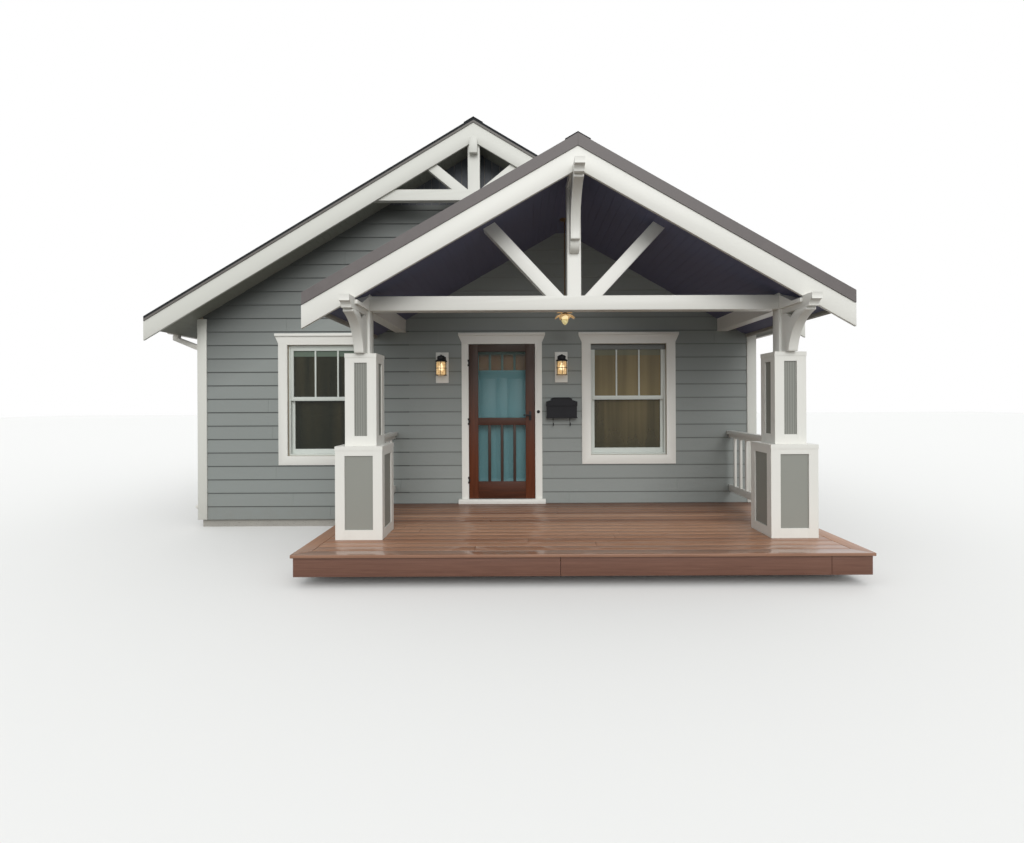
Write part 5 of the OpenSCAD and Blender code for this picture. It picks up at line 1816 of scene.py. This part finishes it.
@dataclass
class Mailbox:
    """A black wall mailbox with an arched lid and paper hooks."""

    x: float = 1.118
    foot: float = 1.428
    width: float = 0.403
    height: float = 0.255
    depth: float = 0.125
    inset: float = 0.006
    lid: float = 0.1
    lid_side: float = 0.04
    body_foot: float = 0.012
    body_side: float = 0.045
    body_inset: float = 0.008
    base: float = 0.014
    back_share: float = 0.72
    back_foot: float = 0.05
    back_side: float = 0.002
    back_rise: float = 0.034
    back: float = 0.008
    band_inset: float = 0.02
    band_out: float = 0.003
    band: tuple[float, float] = (0.006, 0.016)
    hook: float = 0.05
    hook_share: float = 0.55
    hook_out: float = 0.012
    hook_top: float = 0.004
    hook_drop: float = 0.06
    hook_flat: float = 0.9
    hook_wire: float = 0.0042
    bends: int = 7

    def arch(self, half: float, low: float, side: float, crown: float,
             steps: int = 12) -> list[tuple[float, float]]:
        """Draws a box whose top rises in a low arch.

        Args:
            half: Half the width.
            low: The foot.
            side: The height at the sides.
            crown: The height in the middle.
            steps: How many pieces the arch has.

        Returns:
            Pairs of X and Z.
        """
        shares = [1 - 2 * i / steps for i in range(steps + 1)]
        return [(self.x - half, low), (self.x + half, low),
                *((self.x + half * share, side + (crown - side) * (1 - share * share))
                  for share in shares)]

    def build(self) -> None:
        """Folds the box, its lid and its back plate."""
        half, z, top = self.width / 2, self.foot, self.foot + self.height
        stock = Stock()
        stock.slab(self.arch(half - self.inset, z + self.body_foot, top - self.body_side,
                             top - self.inset),
                   FRONT - self.depth + self.body_inset, self.depth - self.body_inset)
        stock.board((self.x - half, FRONT - self.depth, z),
                    (self.x + half, FRONT, z + self.base))
        stock.slab(self.arch(half, top - self.lid, top - self.lid_side, top),
                   FRONT - self.depth, self.depth)
        stock.slab(self.arch(half * self.back_share, z + self.back_foot, top - self.back_side,
                             top + self.back_rise), FRONT - self.back, self.back)
        band = half - self.band_inset
        stock.board((self.x - band, FRONT - self.depth - self.band_out,
                     top - self.lid + self.band[0]),
                    (self.x + band, FRONT - self.depth, top - self.lid + self.band[1]))
        stock.eased(0.0025)
        for side in SIDES:
            self.paper_hook(stock, self.x + side * half * self.hook_share)
        stock.piece("wall_mailbox", MAILBOX_BLACK, "mailbox_metal", stands_for=["mailbox"])

    def paper_hook(self, stock: Stock, x: float) -> None:
        """Bends one hook under the box.

        Args:
            stock: Where it goes.
            x: Its place along the wall.
        """
        y, low = FRONT - self.hook_out, self.foot - self.hook_drop
        angles = [math.pi * turn / self.bends for turn in range(1, self.bends + 1)]
        points = [(x, y, self.foot + self.hook_top), (x, y, low),
                  *((x, y - self.hook + self.hook * math.cos(angle),
                     low - self.hook * self.hook_flat * math.sin(angle)) for angle in angles)]
        for start, end in pairwise(points):
            stock.rod(start, end, self.hook_wire, 10)


@dataclass
class Doorbell:
    """A round bell push on the door's right casing."""

    x: float = 0.813
    z: float = 1.511
    profile: Profile = ((0.0, 0.0), (0.02, 0.0), (0.021, 0.004), (0.017, 0.009), (0.009, 0.01),
                        (0.008, 0.015), (0.0, 0.016))

    def build(self) -> None:
        """Turns the rose and its button."""
        stock = Stock()
        stock.turned(self.profile, (self.x, FRONT - CASING, self.z), 28, True)
        stock.piece("doorbell", BLACK, "black_metal")


@dataclass
class Studio:
    """Floor, lamps and the camera at the photograph's viewing angle."""

    width_px: int = 1024
    focal_px: float = 538.0
    eye: tuple[float, float, float] = (0.583, -10.9525, 1.654)
    horizon: tuple[float, float] = (521.0, 401.0)
    middle: tuple[float, float] = (512.0, 421.5)
    roll: float = 0.25
    sensor: float = 36.0
    reach: float = 200.0
    ground: float = 60.0
    ground_paint: Colour = paint(232, 231, 229)
    bounce: Colour = (0.2, 0.19, 0.17, 1.0)
    sky: float = 0.98
    sky_colour: Colour = (0.96, 0.985, 1.0, 1.0)
    white: Colour = (1.0, 1.0, 1.0, 1.0)
    sun: float = 1.5
    sun_colour: tuple[float, float, float] = (1.0, 0.995, 0.98)
    sun_spread: float = 40.0
    sun_way: tuple[float, float, float] = (-0.12, 0.85, -0.5)
    sun_place: tuple[float, float, float] = (6.0, -12.0, 12.0)

    def build(self) -> None:
        """Sets up everything that isn't part of the house."""
        bpy.context.scene.view_settings.view_transform = "Standard"
        self.floor()
        self.world()
        self.lamp()
        self.camera()

    @staticmethod
    def seen(tree: Tree) -> Signal:
        """Gives 1 to the eye, to gloss and through glass, and 0 to soft light.

        Args:
            tree: The tree that takes the nodes.

        Returns:
            The signal.
        """
        path = tree.node("ShaderNodeLightPath")
        eye, gloss, glass = (Signal(tree, path.outputs[f"Is {kind} Ray"])
                             for kind in ("Camera", "Glossy", "Transmission"))
        return eye.most(gloss).most(glass)

    def floor(self) -> None:
        """Lays a plain pale floor that throws little light back up."""
        recipe = Recipe("studio_floor")
        recipe.set(Base_Color=self.ground_paint, Roughness=0.9, Specular_IOR_Level=0.1)
        recipe.fill(recipe.output, {"Surface": recipe.signal("ShaderNodeMixShader", {}, {
            0: self.seen(recipe),
            1: recipe.signal("ShaderNodeBsdfDiffuse", {}, {"Color": self.bounce}),
            2: Signal(recipe, recipe.shader.outputs[0])})})
        mesh = bmesh.new()
        bmesh.ops.create_grid(mesh, x_segments=1, y_segments=1, size=self.ground)
        data = bpy.data.meshes.new("studio_floor")
        mesh.to_mesh(data)
        mesh.free()
        data.materials.append(recipe.material)
        ground = bpy.data.objects.new("studio_floor", data)
        bpy.context.scene.collection.objects.link(ground)

    def world(self) -> None:
        """Shows white to the eye and to gloss, and lights softly."""
        world = bpy.data.worlds.new("studio")
        bpy.context.scene.world = world
        world.use_nodes = True
        tree = Tree(world.node_tree)
        soft, shown = (tree.signal("ShaderNodeBackground", {},
                                   {"Color": colour, "Strength": strength})
                       for colour, strength in ((self.sky_colour, self.sky), (self.white, 1.0)))
        tree.node("ShaderNodeOutputWorld", {}, {"Surface": tree.signal(
            "ShaderNodeMixShader", {}, {0: self.seen(tree), 1: soft, 2: shown})})

    def lamp(self) -> None:
        """Adds one broad, soft key from the front right."""
        data = bpy.data.lights.new("soft_key", "SUN")
        data.energy = self.sun
        data.angle = math.radians(self.sun_spread)
        data.color = self.sun_colour
        lamp = bpy.data.objects.new("soft_key", data)
        lamp.rotation_euler = Vector(self.sun_way).to_track_quat("-Z", "Y").to_euler()
        lamp.location = self.sun_place
        bpy.context.scene.collection.objects.link(lamp)

    def camera(self) -> None:
        """Stands the camera where the photograph was taken from."""
        data = bpy.data.cameras.new("photo_view")
        data.sensor_width = self.sensor
        data.lens = self.sensor * self.focal_px / self.width_px
        data.shift_x = (self.middle[0] - self.horizon[0]) / self.width_px
        data.shift_y = (self.horizon[1] - self.middle[1]) / self.width_px
        data.clip_end = self.reach
        camera = bpy.data.objects.new("photo_view", data)
        camera.location = self.eye
        camera.rotation_euler = (math.radians(90), math.radians(self.roll), 0)
        bpy.context.scene.collection.objects.link(camera)
        bpy.context.scene.camera = camera


def plain_nodes() -> None:
    """Finishes the CAD nodes that are shown as they are."""
    dress(PLASTER, "front_wall_left", "front_wall_right", "front_wall_over_door",
          "front_gable", "left_wall", "right_wall", "rear_wall", "rear_gable")
    dress(FOOTING, "foundation")
    dress(FLOORING, "house_floor")
    dress(WINDOW_GLASS, "window_glass")
    dress(BLACK, "door_hinges")


def main() -> None:
    """Builds every sub-assembly in order."""
    logging.basicConfig(level=logging.INFO, format="%(name)s %(message)s")
    shell, leaf = HouseShell(), DoorLeaf()
    plain_nodes()
    for part in (LapSiding(shell), GablePeak(shell), Roofs(shell), Trim(), Deck(), Piers(),
                 Railings(), ScreenDoor(leaf), EntryDoor(leaf), Lanterns(), Pendant(),
                 Mailbox(), Doorbell(), Studio()):
        LOG.info("building %s", type(part).__name__)
        part.build()


if __name__ == "__main__":
    main()
